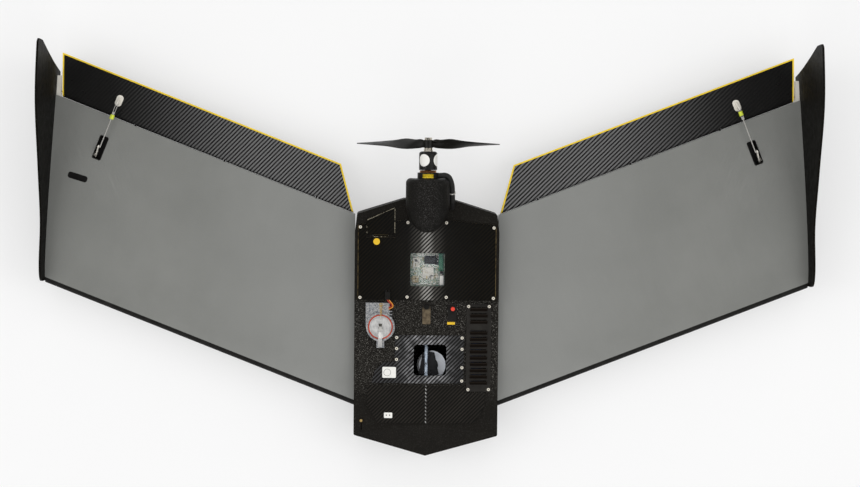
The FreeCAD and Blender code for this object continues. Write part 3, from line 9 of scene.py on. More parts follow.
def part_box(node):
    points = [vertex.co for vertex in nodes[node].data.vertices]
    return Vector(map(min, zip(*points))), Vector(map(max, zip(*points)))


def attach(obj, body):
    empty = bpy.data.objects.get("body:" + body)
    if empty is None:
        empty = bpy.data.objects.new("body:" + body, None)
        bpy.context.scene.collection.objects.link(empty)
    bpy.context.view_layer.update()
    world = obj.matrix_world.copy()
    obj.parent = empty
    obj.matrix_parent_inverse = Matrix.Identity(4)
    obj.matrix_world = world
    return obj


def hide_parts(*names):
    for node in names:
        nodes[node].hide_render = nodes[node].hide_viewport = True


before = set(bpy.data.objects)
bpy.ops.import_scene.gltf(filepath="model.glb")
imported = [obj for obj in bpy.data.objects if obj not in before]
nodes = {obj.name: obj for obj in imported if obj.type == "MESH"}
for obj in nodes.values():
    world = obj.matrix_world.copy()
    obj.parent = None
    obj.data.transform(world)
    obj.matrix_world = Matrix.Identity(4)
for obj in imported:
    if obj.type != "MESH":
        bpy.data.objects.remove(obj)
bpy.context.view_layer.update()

mm = 0.001


# ---------------------------------------------------------------- material tools
paints = {}


class Paint:
    """One procedural material, kept in paints. Its texture places are the row frame's, in millimetres."""

    def __init__(self, name):
        self.material = bpy.data.materials.new(name)
        paints[name] = self.material
        self.material.use_nodes = True
        self.tree = self.material.node_tree
        self.shader = self.tree.nodes["Principled BSDF"]
        source = self.tree.nodes.new("ShaderNodeTexCoord")
        self.normal_out = source.outputs["Normal"]
        self.place = self.vector("SCALE", source.outputs["Object"], scale=1 / mm)
        self.x, self.y, self.z = self.split(self.place)

    def put(self, socket, value):
        if isinstance(value, bpy.types.NodeSocket):
            self.tree.links.new(value, socket)
        elif isinstance(value, (tuple, list)) and len(value) == 3 and socket.type == "RGBA":
            socket.default_value = (*value, 1.0)
        else:
            socket.default_value = value

    def split(self, place):
        node = self.tree.nodes.new("ShaderNodeSeparateXYZ")
        self.put(node.inputs[0], place)
        return node.outputs[0], node.outputs[1], node.outputs[2]

    def combine(self, x, y, z):
        node = self.tree.nodes.new("ShaderNodeCombineXYZ")
        for socket, value in zip(node.inputs, (x, y, z)):
            self.put(socket, value)
        return node.outputs[0]

    def vector(self, operation, a, b=None, scale=None):
        node = self.tree.nodes.new("ShaderNodeVectorMath")
        node.operation = operation
        self.put(node.inputs[0], a)
        if b is not None:
            self.put(node.inputs[1], b)
        if scale is not None:
            self.put(node.inputs["Scale"], scale)
        return node.outputs[0]

    def math(self, operation, a, b=None, clamp=False):
        node = self.tree.nodes.new("ShaderNodeMath")
        node.operation = operation
        node.use_clamp = clamp
        self.put(node.inputs[0], a)
        if b is not None:
            self.put(node.inputs[1], b)
        return node.outputs[0]

    def times(self, a, b):
        return self.math("MULTIPLY", a, b)

    def plus(self, a, b, clamp=False):
        return self.math("ADD", a, b, clamp)

    def minus(self, a, b):
        return self.math("SUBTRACT", a, b)

    def rest(self, share):
        """What share leaves of 1."""
        return self.math("SUBTRACT", 1.0, share)

    def size_of(self, value):
        return self.math("ABSOLUTE", value)

    def length(self, a, b):
        return self.math("SQRT", self.plus(self.times(a, a), self.times(b, b)))

    def turn(self, degrees, place=None):
        node = self.tree.nodes.new("ShaderNodeVectorRotate")
        node.rotation_type = "Z_AXIS"
        self.put(node.inputs["Vector"], place or self.place)
        self.put(node.inputs["Angle"], math.radians(degrees))
        return node.outputs[0]

    def stretch(self, factors, place=None):
        return self.vector("MULTIPLY", place or self.place, factors)

    def noise(self, size, detail=2.0, rough=0.5, place=None):
        """Soft noise, 0 to 1, with features about size mm across."""
        node = self.tree.nodes.new("ShaderNodeTexNoise")
        self.put(node.inputs["Vector"], place or self.place)
        node.inputs["Scale"].default_value = 1.0 / size
        node.inputs["Detail"].default_value = detail
        node.inputs["Roughness"].default_value = rough
        return node.outputs["Fac"]

    def cells(self, size, output="Distance"):
        node = self.tree.nodes.new("ShaderNodeTexVoronoi")
        self.put(node.inputs["Vector"], self.place)
        node.inputs["Scale"].default_value = 1.0 / size
        return node.outputs[output]

    def remap(self, value, low, high, to_low=0.0, to_high=1.0):
        node = self.tree.nodes.new("ShaderNodeMapRange")
        self.put(node.inputs["Value"], value)
        limits = {"From Min": low, "From Max": high, "To Min": to_low, "To Max": to_high}
        for name, number in limits.items():
            node.inputs[name].default_value = number
        return node.outputs["Result"]

    def smooth(self, value, low, high):
        node = self.tree.nodes.new("ShaderNodeMapRange")
        node.interpolation_type = "SMOOTHSTEP"
        self.put(node.inputs["Value"], value)
        node.inputs["From Min"].default_value = low
        node.inputs["From Max"].default_value = high
        return node.outputs["Result"]

    def mix(self, share, a, b):
        node = self.tree.nodes.new("ShaderNodeMix")
        node.data_type = "RGBA"
        self.put(node.inputs[0], share)
        self.put(node.inputs[6], a)
        self.put(node.inputs[7], b)
        return node.outputs[2]

    def bump(self, height, depth, below=None):
        """Normal from a height of 0 to 1, depth mm deep."""
        node = self.tree.nodes.new("ShaderNodeBump")
        node.inputs["Strength"].default_value = 1.0
        node.inputs["Distance"].default_value = depth * mm
        self.put(node.inputs["Height"], height)
        if below is not None:
            self.put(node.inputs["Normal"], below)
        return node.outputs["Normal"]

    def finish(self, color, roughness, metallic=0.0, normal=None, **extra):
        self.put(self.shader.inputs["Base Color"], color)
        self.put(self.shader.inputs["Roughness"], roughness)
        self.put(self.shader.inputs["Metallic"], metallic)
        if normal is not None:
            self.put(self.shader.inputs["Normal"], normal)
        for name, value in extra.items():
            self.put(self.shader.inputs[name.replace("_", " ")], value)


def tow_hill(p, across, along):
    """Height of one tow: round across its width, arched along the two tows that it passes over."""
    side = p.math("SINE", p.times(across, math.pi))
    arch = p.math("SINE", p.times(along, math.pi / 2))
    return p.plus(p.times(side, 0.55), p.times(arch, 0.45))


def twill(p, u, v, tow):
    """2 by 2 twill of tows tow mm wide: the mask of the tows along v, and the cloth's height from 0 to 1."""
    column = p.math("DIVIDE", u, tow)
    row = p.math("DIVIDE", v, tow)
    in_column = p.math("FRACT", column)
    in_row = p.math("FRACT", row)
    step = p.minus(p.math("FLOOR", column), p.math("FLOOR", row))
    phase = p.math("FLOORED_MODULO", step, 4.0)
    warp = p.math("LESS_THAN", phase, 1.5)
    warp_hill = tow_hill(p, in_column, p.minus(p.plus(in_row, 1.0), phase))
    weft_hill = tow_hill(p, in_row, p.plus(p.minus(phase, 2.0), in_column))
    height = p.plus(p.times(warp_hill, warp), p.times(weft_hill, p.rest(warp)))
    return warp, height


def carbon(
    name,
    tow,
    warp_glint_color,
    weft_color,
    depth,
    rough,
    coat,
    plane="xy",
    edge=None,
    extra=None,
    gloss=0.25,
):
    """Woven carbon under resin. extra changes the cloth's colour, edge is the colour of its raw edges."""
    p = Paint(name)
    u, v = (p.x, p.y) if plane == "xy" else (p.y, p.z)
    warp, height = twill(p, u, v, tow)
    fibre = p.noise(0.25, 1.0, place=p.stretch((1.0, 0.12, 0.12)))
    # Painted reflection: the warp tows take a brighter colour than the weft, though both are the same fibre.
    tone = p.mix(warp, weft_color, warp_glint_color)
    tone = p.mix(p.times(height, 0.75), tuple(0.35 * c for c in weft_color), tone)
    tone = p.mix(p.remap(fibre, 0.3, 0.7, 0.0, 0.35), tone, tuple(0.5 * c for c in weft_color))
    cloud = p.noise(38.0, 2.0)
    tone = p.mix(p.remap(cloud, 0.35, 0.65, 0.0, 0.35), tone, tuple(0.6 * c for c in weft_color))
    if extra:
        tone = extra(p, tone, warp)
    if edge:
        upright = p.split(p.normal_out)[2]
        side = p.math("LESS_THAN", p.size_of(upright), 0.5)
        tone = p.mix(side, tone, edge)
    roughness = p.remap(p.noise(9.0, 3.0), 0.3, 0.7, rough - 0.05, rough + 0.07)
    normal = p.bump(height, depth)
    shine = {"Coat_Weight": coat, "Coat_Roughness": 0.1, "Specular_IOR_Level": gloss}
    p.finish(tone, roughness, 0.0, normal, **shine)


def speckled(name, dark, grain, size, depth, rough, amount):
    """Moulded foam: a stippled skin with paler grains. amount gives the share of grains from the place."""
    p = Paint(name)
    coarse = p.noise(size, 3.0, 0.65)
    pits = p.cells(size * 1.3)
    height = p.plus(p.times(coarse, 0.65), p.times(p.rest(pits), 0.35))
    cloud = p.noise(45.0, 3.0)
    tone = p.mix(p.remap(cloud, 0.3, 0.7), dark, tuple(c * 1.35 for c in dark))
    specks = p.smooth(p.noise(size * 0.8, 2.0, 0.7), 0.55, 0.71)
    tone = p.mix(p.times(specks, amount(p)), tone, grain)
    scuff = p.smooth(p.noise(3.2, 4.0, 0.8, place=p.stretch((0.35, 1.0, 1.0))), 0.66, 0.78)
    tone = p.mix(p.times(scuff, 0.25), tone, tuple(c * 0.4 for c in grain))
    roughness = p.remap(coarse, 0.3, 0.7, rough - 0.12, rough + 0.1)
    p.finish(tone, roughness, 0.0, p.bump(height, depth), Specular_IOR_Level=0.12)


def plastic(
    name,
    color,
    rough,
    grain,
    depth,
    wear,
    coat=0.0,
    variation=0.18,
    specular=0.45,
):
    """Moulded plastic or paint: fine grain, slight cloudiness and rubbed patches."""
    p = Paint(name)
    dark = tuple(c * (1 - variation) for c in color)
    light = tuple(min(1.0, c * (1 + variation) + 0.004) for c in color)
    tone = p.mix(p.remap(p.noise(14.0, 3.0), 0.3, 0.7), dark, light)
    rub = p.smooth(p.noise(2.6, 4.0, 0.75, place=p.stretch((1.0, 0.4, 0.7))), 0.6, 0.75)
    tone = p.mix(p.times(rub, wear), tone, tuple(min(1.0, c * 1.4 + 0.02) for c in color))
    roughness = p.remap(p.noise(4.0, 3.0), 0.3, 0.7, max(0.04, rough - 0.07), rough + 0.08)
    normal = p.bump(p.noise(grain, 2.0), depth)
    p.finish(tone, roughness, 0.0, normal, Coat_Weight=coat, Specular_IOR_Level=specular)


def metal(
    name,
    color,
    rough,
    size=0.5,
    mottle=0.15,
    mottle_size=2.5,
    metallic=0.6,
):
    """Bare metal: fine tool marks and a mottle of darker patches."""
    p = Paint(name)
    marks = p.noise(size, 2.0, 0.6)
    patches = p.noise(mottle_size, 3.0, 0.65)
    tone = p.mix(p.remap(marks, 0.3, 0.7), tuple(c * 0.86 for c in color), color)
    tone = p.mix(p.times(p.smooth(patches, 0.48, 0.66), mottle), tone, tuple(c * 0.55 for c in color))
    roughness = p.remap(marks, 0.3, 0.7, rough - 0.08, rough + 0.12)
    p.finish(tone, roughness, metallic, p.bump(marks, 0.02))


def clear(name, tint, rough):
    """Thin clear sheet. Lamps shine through it, so what lies under it is lit."""
    p = Paint(name)
    haze = p.remap(p.noise(6.0, 3.0), 0.4, 0.8, rough, rough + 0.05)
    waves = p.bump(p.noise(22.0, 1.0), 0.15)
    p.finish(tint, haze, 0.0, waves, Transmission_Weight=1.0, IOR=1.42, Specular_IOR_Level=0.5)
    path = p.tree.nodes.new("ShaderNodeLightPath")
    through = p.tree.nodes.new("ShaderNodeBsdfTransparent")
    mixed = p.tree.nodes.new("ShaderNodeMixShader")
    p.put(mixed.inputs[0], path.outputs["Is Shadow Ray"])
    p.put(mixed.inputs[1], p.shader.outputs[0])
    p.put(mixed.inputs[2], through.outputs[0])
    p.put(p.tree.nodes["Material Output"].inputs[0], mixed.outputs[0])


def film_window(name, gloss, glint_reach):
    """Thin clear film. gloss is how much of it shows; the last argument is how far, in mm, a painted
    highlight reaches from the film's middle.
    """
    p = Paint(name)
    haze = p.remap(p.noise(6.0, 3.0), 0.4, 0.8, 0.06, 0.2)
    p.finish((0.4, 0.47, 0.56), haze, 0.0, p.bump(p.noise(22.0, 1.0), 0.15), Specular_IOR_Level=0.3)
    share = p.remap(p.noise(15.0, 2.0), 0.3, 0.7, gloss * 0.6, gloss * 1.4)
    if glint_reach:
        # Painted highlight: a pale bluish band of the film along its middle.
        wander = p.times(p.minus(p.noise(14.0, 2.0), 0.5), 2.6)
        off = p.size_of(p.plus(p.x, wander))
        crease_glint = p.rest(p.smooth(off, glint_reach * 0.25, glint_reach))
        cloud = p.remap(p.noise(6.5, 3.0), 0.34, 0.64, 0.04, 0.7)
        share = p.plus(share, p.times(crease_glint, cloud), clamp=True)
    through = p.tree.nodes.new("ShaderNodeBsdfTransparent")
    mixed = p.tree.nodes.new("ShaderNodeMixShader")
    p.put(mixed.inputs[0], share)
    p.put(mixed.inputs[1], through.outputs[0])
    p.put(mixed.inputs[2], p.shader.outputs[0])
    p.put(p.tree.nodes["Material Output"].inputs[0], mixed.outputs[0])


# ---------------------------------------------------------------- materials
hatch_low, hatch_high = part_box("rear_hatch")
front_low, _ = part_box("front_hatch")
camera_hatch_low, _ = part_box("camera_hatch")
window_low, window_high = (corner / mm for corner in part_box("camera_window"))
window_centre = (window_low + window_high) / 2
well_reach = 27.0
step_y = hatch_low.y / mm - 2.0
deck_slope = math.tan(math.radians(4.0))
ridge_z = 76.0
grain_front_y = camera_hatch_low.y / mm - 4.0


def deck_grains(p):
    """Most grains on the middle deck, few on the nose and the rear deck, none in the camera's well."""
    front = p.smooth(p.y, grain_front_y - 30.0, grain_front_y + 12.0)
    rear = p.rest(p.smooth(p.y, step_y, step_y + 3.0))
    share = p.plus(p.times(p.times(front, rear), 0.85), 0.14)
    reach_x = p.size_of(p.minus(p.x, window_centre.x))
    reach_y = p.size_of(p.minus(p.y, window_centre.y))
    outside = p.math("GREATER_THAN", p.math("MAXIMUM", reach_x, reach_y), well_reach)
    return p.times(share, outside)


def pod_grains_and_crown_highlight(p):
    """Grains all over the pod, and more along its crown as a painted highlight."""
    crown = p.rest(p.smooth(p.size_of(p.x), 4.0, 24.0))
    return p.plus(p.times(crown, 0.8), 0.3)


def ridge_glints_painted(p, tone, _):
    """Painted highlight: threads along the hatch's bent ridge painted bright, as glints of its crest."""
    near = p.rest(p.smooth(p.size_of(p.x), 0.45, 1.15))
    thread = p.smooth(p.math("SINE", p.times(p.plus(p.y, p.x), math.tau / 5.3)), 0.0, 0.5)
    fade = p.remap(p.noise(16.0, 1.0), 0.35, 0.65, 0.35, 1.0)
    return p.mix(p.times(p.times(near, thread), fade), tone, (0.42, 0.42, 0.41))


def ridge_rib_glints_painted(p, tone, warp):
    """Painted highlight: warp ribs painted brighter towards the ridge, as glints."""
    near = p.rest(p.smooth(p.size_of(p.x), 4.0, 52.0))
    glint = p.smooth(p.noise(11.0, 2.0), 0.38, 0.66)
    share = p.times(p.times(near, warp), p.plus(p.times(glint, 0.55), 0.12))
    return p.mix(share, tone, (0.46, 0.46, 0.47))


def crown_rib_glints_painted(p, tone, warp):
    """Painted highlight: warp ribs painted brighter along the middle of the flat hatch, as glints; its rim
    is tan.
    """
    near = p.rest(p.smooth(p.size_of(p.x), 6.0, 30.0))
    tone = p.mix(p.times(p.times(near, warp), 0.42), tone, (0.16, 0.15, 0.135))
    middle = p.rest(p.smooth(p.size_of(p.x), 2.0, 12.0))
    tone = p.mix(p.times(p.times(middle, warp), 0.5), tone, (0.5, 0.49, 0.46))
    rim = p.smooth(p.size_of(p.x), hatch_high.x / mm - 1.1, hatch_high.x / mm - 0.5)
    worn = p.remap(p.noise(7.0, 2.0), 0.35, 0.6)
    return p.mix(p.times(rim, worn), tone, (0.12, 0.085, 0.035))


def root_rib_glints_painted(p, tone, warp):
    """Painted highlight: warp ribs painted brighter on the inner half of the elevon, as glints, fading
    outboard.
    """
    inner = p.rest(p.smooth(p.size_of(p.x), 230.0, 480.0))
    return p.mix(p.times(p.times(inner, warp), 0.5), tone, (0.3, 0.3, 0.3))


servo_slot_place = (470.0, 222.0, 50.0)


def film():
    """Satin grey heat-shrunk film with faint wrinkles, more of them around the servo slots."""
    p = Paint("wing_film")
    side = p.size_of(p.x)
    mirrored = p.combine(side, p.y, p.z)
    cloud = p.noise(120.0, 3.0, 0.55, place=mirrored)
    flake = p.noise(0.6, 1.0)
    tone = p.mix(p.remap(cloud, 0.3, 0.7), (0.208, 0.212, 0.198), (0.242, 0.245, 0.23))
    tone = p.mix(p.remap(flake, 0.35, 0.65, 0.0, 0.16), tone, (0.32, 0.32, 0.305))
    # Painted sheen: the film is painted paler towards the root.
    inner = p.rest(p.smooth(side, 90.0, 420.0))
    tone = p.mix(p.times(inner, 0.45), tone, (0.33, 0.335, 0.325))
    long_folds = p.noise(34.0, 2.0, 0.6, place=p.stretch((1.0, 0.28, 1.0), p.turn(-18.0, mirrored)))
    slot = p.vector("SUBTRACT", mirrored, servo_slot_place)
    slot_x, slot_y, _ = p.split(slot)
    distance = p.length(slot_x, slot_y)
    near_slot = p.rest(p.smooth(distance, 25.0, 85.0))
    ripples = p.noise(8.0, 2.0, 0.6, place=p.stretch((1.0, 0.22, 1.0), p.turn(24.0, mirrored)))
    height = p.plus(p.times(long_folds, 0.6), p.times(p.times(ripples, near_slot), 0.55))
    roughness = p.remap(p.noise(26.0, 3.0), 0.3, 0.7, 0.38, 0.5)
    normal = p.bump(flake, 0.012, p.bump(height, 2.4))
    p.finish(tone, roughness, 0.25, normal, Specular_IOR_Level=0.45)


def board_paint():
    """Populated circuit board: traces, pads and solder over green resist."""
    p = Paint("circuit_board")
    tiles = p.cells(3.2, output="Color")
    pads = p.math("LESS_THAN", p.cells(1.3), 0.28)
    lanes = p.math("GREATER_THAN", p.math("SINE", p.times(p.plus(p.x, p.y), 2.8)), 0.4)
    tone = p.mix(p.noise(6.0, 3.0), (0.02, 0.10, 0.055), (0.06, 0.2, 0.12))
    tone = p.mix(p.times(lanes, 0.5), tone, (0.16, 0.28, 0.2))
    tone = p.mix(p.times(p.split(tiles)[0], 0.55), tone, (0.42, 0.4, 0.33))
    tone = p.mix(pads, tone, (0.6, 0.58, 0.5))
    roughness = p.remap(p.noise(1.5), 0.3, 0.7, 0.25, 0.5)
    p.finish(tone, roughness, 0.0, p.bump(p.cells(1.3), 0.1), Coat_Weight=0.3)


def dial_metal():
    """Brushed dial: fine lines along the frame's Y, rubbed bright in patches."""
    p = Paint("silver_brushed")
    lines = p.noise(0.5, 3.0, 0.7, place=p.stretch((1.0, 0.06, 1.0)))
    rub = p.noise(7.0, 3.0)
    tone = p.mix(p.remap(lines, 0.3, 0.7), (0.34, 0.34, 0.34), (0.72, 0.71, 0.69))
    tone = p.mix(p.remap(rub, 0.4, 0.65, 0.0, 0.55), tone, (0.86, 0.85, 0.83))
    p.finish(tone, p.remap(lines, 0.3, 0.7, 0.3, 0.5), 0.4, p.bump(lines, 0.04))


def cast_metal():
    """Sand-cast release body: bright high spots and bluish hollows."""
    p = Paint("silver_cast")
    lumps = p.noise(2.4, 4.0, 0.7)
    tone = p.mix(p.smooth(lumps, 0.38, 0.6), (0.3, 0.32, 0.35), (0.78, 0.77, 0.76))
    stain = p.smooth(p.noise(5.0, 3.0), 0.52, 0.7)
    tone = p.mix(p.times(stain, 0.35), tone, (0.22, 0.26, 0.33))
    p.finish(tone, p.remap(lumps, 0.3, 0.7, 0.5, 0.3), 0.8, p.bump(lumps, 0.5))


def windings():
    """Copper wire wound on the stator, lacquered."""
    p = Paint("copper_stator")
    turns = p.math("SINE", p.times(p.y, math.tau / 0.9))
    tone = p.mix(p.remap(turns, -1.0, 1.0), (0.25, 0.09, 0.035), (0.75, 0.34, 0.14))
    p.finish(tone, 0.3, 0.9, p.bump(turns, 0.2))


def turned(name, color, rough):
    """Turned metal with fine tool rings around the motor's axis."""
    p = Paint(name)
    rings = p.math("SINE", p.times(p.y, math.tau / 0.55))
    patch = p.noise(3.0, 3.0)
    tone = p.mix(p.remap(patch, 0.3, 0.7), tuple(c * 0.8 for c in color), color)
    p.finish(tone, p.remap(patch, 0.3, 0.7, rough - 0.05, rough + 0.1), 1.0, p.bump(rings, 0.03))


def vent_shell():
    """Vacuum-formed vent: the hoods of its louvres are painted darker and browner than its plate, as painted
    shade of their openings.
    """
    p = Paint("vent_shell")
    height = p.minus(p.plus(p.z, p.times(p.x, deck_slope)), ridge_z)
    # Painted shade: the louvre hoods over their openings are painted darker; their lips go back to the
    # plate's colour.
    hood_shade = p.smooth(height, 1.7, 2.2)
    lip = p.smooth(height, 3.6, 4.4)
    cloud = p.remap(p.noise(14.0, 3.0), 0.3, 0.7)
    tone = p.mix(cloud, (0.0135, 0.0115, 0.0095), (0.022, 0.0195, 0.0165))
    tone = p.mix(hood_shade, tone, (0.0052, 0.0028, 0.0013))
    tone = p.mix(lip, tone, (0.017, 0.013, 0.01))
    gloss = p.remap(hood_shade, 0.0, 1.0, 0.26, 0.07)
    roughness = p.remap(p.noise(4.0, 3.0), 0.3, 0.7, 0.34, 0.46)
    p.finish(tone, roughness, 0.0, p.bump(p.noise(1.2, 2.0), 0.06), Specular_IOR_Level=gloss)


def cradle_paint():
    """Camera ring: pale towards +X, and darkened towards -X but for a thin pale rim, as painted shade."""
    p = Paint("pale_grey_plastic")
    low, high = (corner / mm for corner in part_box("camera_cradle"))
    centre = (low + high) / 2
    across = p.minus(p.x, centre.x)
    along = p.minus(p.y, centre.y)
    reach = p.length(across, along)
    # Painted shade over the -X side of the ring.
    shaded_side = p.rest(p.smooth(across, -5.0, 3.0))
    rim = p.times(p.smooth(reach, 15.0, 16.0), p.rest(p.smooth(reach, 17.6, 18.6)))
    painted_shade = p.times(shaded_side, p.rest(rim))
    tone = p.mix(p.remap(p.noise(9.0, 3.0), 0.3, 0.7), (0.8, 0.84, 0.92), (0.88, 0.92, 0.98))
    tone = p.mix(painted_shade, tone, (0.03, 0.032, 0.037))
    roughness = p.remap(p.noise(5.0), 0.3, 0.7, 0.2, 0.3)
    p.finish(tone, roughness, 0.0, p.bump(p.noise(2.6, 2.0), 0.02), Specular_IOR_Level=0.7)


def strip_paint():
    """Tan webbing that is grimy around its knob and worn pale at its free end."""
    p = Paint("tan_strip")
    low, _ = (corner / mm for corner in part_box("latch_strip"))
    threads = p.math("SINE", p.times(p.y, math.tau / 1.1))
    grime = p.smooth(p.plus(p.y, p.times(p.noise(3.0, 2.0), 7.0)), low.y + 23.0, low.y + 31.0)
    worn = p.remap(p.noise(4.0, 3.0), 0.35, 0.65)
    tone = p.mix(worn, (0.075, 0.053, 0.03), (0.15, 0.115, 0.068))
    tone = p.mix(grime, tone, (0.012, 0.01, 0.007))
    roughness = p.remap(worn, 0.0, 1.0, 0.55, 0.42)
    p.finish(tone, roughness, 0.0, p.bump(threads, 0.05), Specular_IOR_Level=0.3)


# A carbon's numbers: tow width in mm, colours of warp and weft (the warp's brighter colour is a painted
# reflection), depth in mm, roughness and coat.
# A plastic's numbers: colour, roughness, size and depth of its grain in mm, and wear.
dark_foam = (0.0078, 0.0066, 0.005)
pod_foam = (0.0062, 0.0057, 0.0048)
speckled("foam_shell", dark_foam, (0.195, 0.187, 0.168), 1.5, 0.6, 0.62, deck_grains)
speckled("foam_pod", pod_foam, (0.1, 0.096, 0.092), 1.3, 0.5, 0.6, pod_grains_and_crown_highlight)
carbon(
    "carbon_panel", 1.5, (0.0165, 0.0126, 0.0055), (0.0028, 0.0024, 0.0018), 0.16, 0.34, 0.03,
    edge=(0.16, 0.12, 0.055), extra=crown_rib_glints_painted, gloss=0.12,
)
carbon(
    "carbon_dark", 1.4, (0.05, 0.043, 0.034), (0.005, 0.0042, 0.003), 0.2, 0.42, 0.04,
    edge=(0.05, 0.042, 0.03), extra=ridge_glints_painted, gloss=0.15,
)
carbon(
    "carbon_ribbed", 1.45, (0.1, 0.1, 0.103), (0.003, 0.0027, 0.0024), 0.3, 0.3, 0.1,
    edge=(0.03, 0.027, 0.02), extra=ridge_rib_glints_painted,
)
carbon(
    "carbon_elevon", 1.6, (0.012, 0.0105, 0.0085), (0.0028, 0.0026, 0.0024), 0.26, 0.32, 0.15,
    extra=root_rib_glints_painted,
)
carbon(
    "carbon_winglet", 1.6, (0.0125, 0.0105, 0.0072), (0.0065, 0.0056, 0.0042), 0.06, 0.5, 0.0,
    plane="yz", gloss=0.06,
)
carbon("carbon_tube", 1.2, (0.03, 0.03, 0.03), (0.008, 0.008, 0.008), 0.1, 0.3, 0.5)
film()
plastic("yellow_tape", (0.80, 0.56, 0.018), 0.36, 0.8, 0.04, 0.12, coat=0.2, variation=0.08)
plastic("edge_strip", (0.009, 0.0085, 0.0075), 0.55, 0.7, 0.08, 0.3, specular=0.15)
plastic("black_plastic", (0.0085, 0.0078, 0.0066), 0.42, 0.6, 0.05, 0.25, specular=0.2)
vent_shell()
plastic("white_plastic", (0.72, 0.69, 0.62), 0.34, 0.5, 0.03, 0.1, variation=0.06)
cradle_paint()
plastic("camera_black", (0.009, 0.009, 0.0105), 0.42, 3.5, 0.02, 0.2, specular=0.2)
plastic("battery_wrap", (0.02, 0.035, 0.09), 0.3, 5.0, 0.3, 0.1)
plastic("servo_case", (0.012, 0.012, 0.014), 0.4, 0.5, 0.04, 0.2)
plastic("black_sleeve", (0.012, 0.0115, 0.011), 0.5, 0.9, 0.2, 0.35)
plastic("red_plastic", (0.72, 0.045, 0.02), 0.28, 0.6, 0.02, 0.1, coat=0.4, variation=0.1)
plastic("lead_orange", (0.72, 0.27, 0.03), 0.38, 0.5, 0.03, 0.15, variation=0.1)
plastic("lead_red", (0.42, 0.03, 0.015), 0.38, 0.5, 0.03, 0.15, variation=0.1)
plastic("lead_yellow", (0.82, 0.6, 0.02), 0.36, 0.5, 0.03, 0.1, variation=0.06)
plastic("red_band", (0.55, 0.055, 0.015), 0.4, 0.8, 0.06, 0.3, variation=0.2)
plastic("neon_keeper", (0.60, 0.68, 0.045), 0.32, 0.6, 0.03, 0.1, coat=0.2, variation=0.08)
strip_paint()
metal("steel", (0.68, 0.66, 0.62), 0.3, size=0.7)
metal("screw_steel", (0.86, 0.81, 0.7), 0.3, mottle=0.2, mottle_size=1.2, metallic=0.25)
metal("lever_steel", (0.82, 0.81, 0.78), 0.3, size=0.9, mottle=0.25, mottle_size=3.0, metallic=0.2)
cast_metal()
dial_metal()
turned("silver_turned", (0.72, 0.67, 0.58), 0.24)
metal("brass_pin", (0.72, 0.5, 0.19), 0.26, size=0.6)
windings()
plastic("motor_black", (0.006, 0.0055, 0.005), 0.38, 0.5, 0.02, 0.18, specular=0.25)
plastic("propeller_black", (0.0065, 0.0058, 0.0048), 0.36, 0.7, 0.03, 0.25, specular=0.25)
board_paint()
clear("clear_window", (0.97, 0.98, 0.98), 0.02)
film_window("flat_window", 0.02, 0.0)
film_window("ridge_window", 0.0, 2.9)
plastic("chip_black", (0.02, 0.02, 0.021), 0.38, 0.4, 0.02, 0.2)
metal("chip_metal", (0.82, 0.8, 0.73), 0.35, size=0.8, metallic=0.3)
plastic("chip_tan", (0.42, 0.35, 0.2), 0.45, 0.5, 0.02, 0.2)
plastic("board_green", (0.02, 0.16, 0.085), 0.35, 0.7, 0.05, 0.3, coat=0.3)
plastic("label_white", (0.78, 0.77, 0.73), 0.45, 0.8, 0.02, 0.08, variation=0.04)
plastic("label_yellow", (0.80, 0.50, 0.012), 0.42, 0.8, 0.02, 0.1, variation=0.06)
plastic("label_dark", (0.006, 0.0055, 0.005), 0.45, 0.8, 0.02, 0.15, specular=0.1)
# Pale flap edges: chipped bare edges, and a painted highlight along the rear edge.
plastic("edge_wear", (0.42, 0.38, 0.28), 0.5, 0.6, 0.02, 0.2, variation=0.3)
plastic("label_ink", (0.05, 0.05, 0.05), 0.5, 0.8, 0.02, 0.1)
plastic("socket_shade", (0.06, 0.055, 0.045), 0.4, 0.4, 0.02, 0.2)

# Each CAD node takes the paint of its slot, and a few take one of their own
for name, node in nodes.items():
    record_slot = node.data.materials[0].name.split(".")[0]
    node.data.materials.clear()
    node.data.materials.append(paints[record_slot])
own_paints = {
    "vent_plate": "vent_shell",
    "deck_screws": "screw_steel",
    "winglet_screws": "screw_steel",
    "electronics_window": "flat_window",
    "equipment_tray": "carbon_dark",
    "access_flap": "carbon_panel",
}
for name, paint in own_paints.items():
    nodes[name].data.materials[0] = paints[paint]


# ---------------------------------------------------------------- solids inside one CAD node
def islands(node):
    """The polygons of each separate solid of a CAD node, with its lowest and highest corner in mm."""
    mesh = nodes[node].data
    welded = {}
    group = []
    for vertex in mesh.vertices:
        key = tuple(round(c / mm, 2) for c in vertex.co)
        group.append(welded.setdefault(key, len(welded)))
    parent = list(range(len(welded)))

    def root(item):
        while parent[item] != item:
            parent[item] = parent[parent[item]]
            item = parent[item]
        return item

    for polygon in mesh.polygons:
        first = root(group[polygon.vertices[0]])
        for corner in polygon.vertices[1:]:
            parent[root(group[corner])] = first
    found = {}
    for polygon in mesh.polygons:
        found.setdefault(root(group[polygon.vertices[0]]), []).append(polygon)
    result = []
    for polygons in found.values():
        points = [mesh.vertices[i].co / mm for polygon in polygons for i in polygon.vertices]
        low = Vector(min(p[k] for p in points) for k in range(3))
        high = Vector(max(p[k] for p in points) for k in range(3))
        result.append((polygons, low, high))
    return sorted(result, key=lambda item: tuple(item[1]))


def repaint(node, choose):
    """Gives each solid of a node the paint that choose(size, low, high) names, or leaves it."""
    materials = nodes[node].data.materials
    slots = {}
    for polygons, low, high in islands(node):
        name = choose(high - low, low, high)
        if name is None:
            continue
        if name not in slots:
            slots[name] = len(materials)
            materials.append(paints[name])
        for polygon in polygons:
            polygon.material_index = slots[name]


def lug_paint(_, low, high):
    """Black lugs along the hinge. The outermost ones stay white."""
    inboard = max(abs(low.x), abs(high.x)) < 500.0
    return "black_plastic" if inboard else None


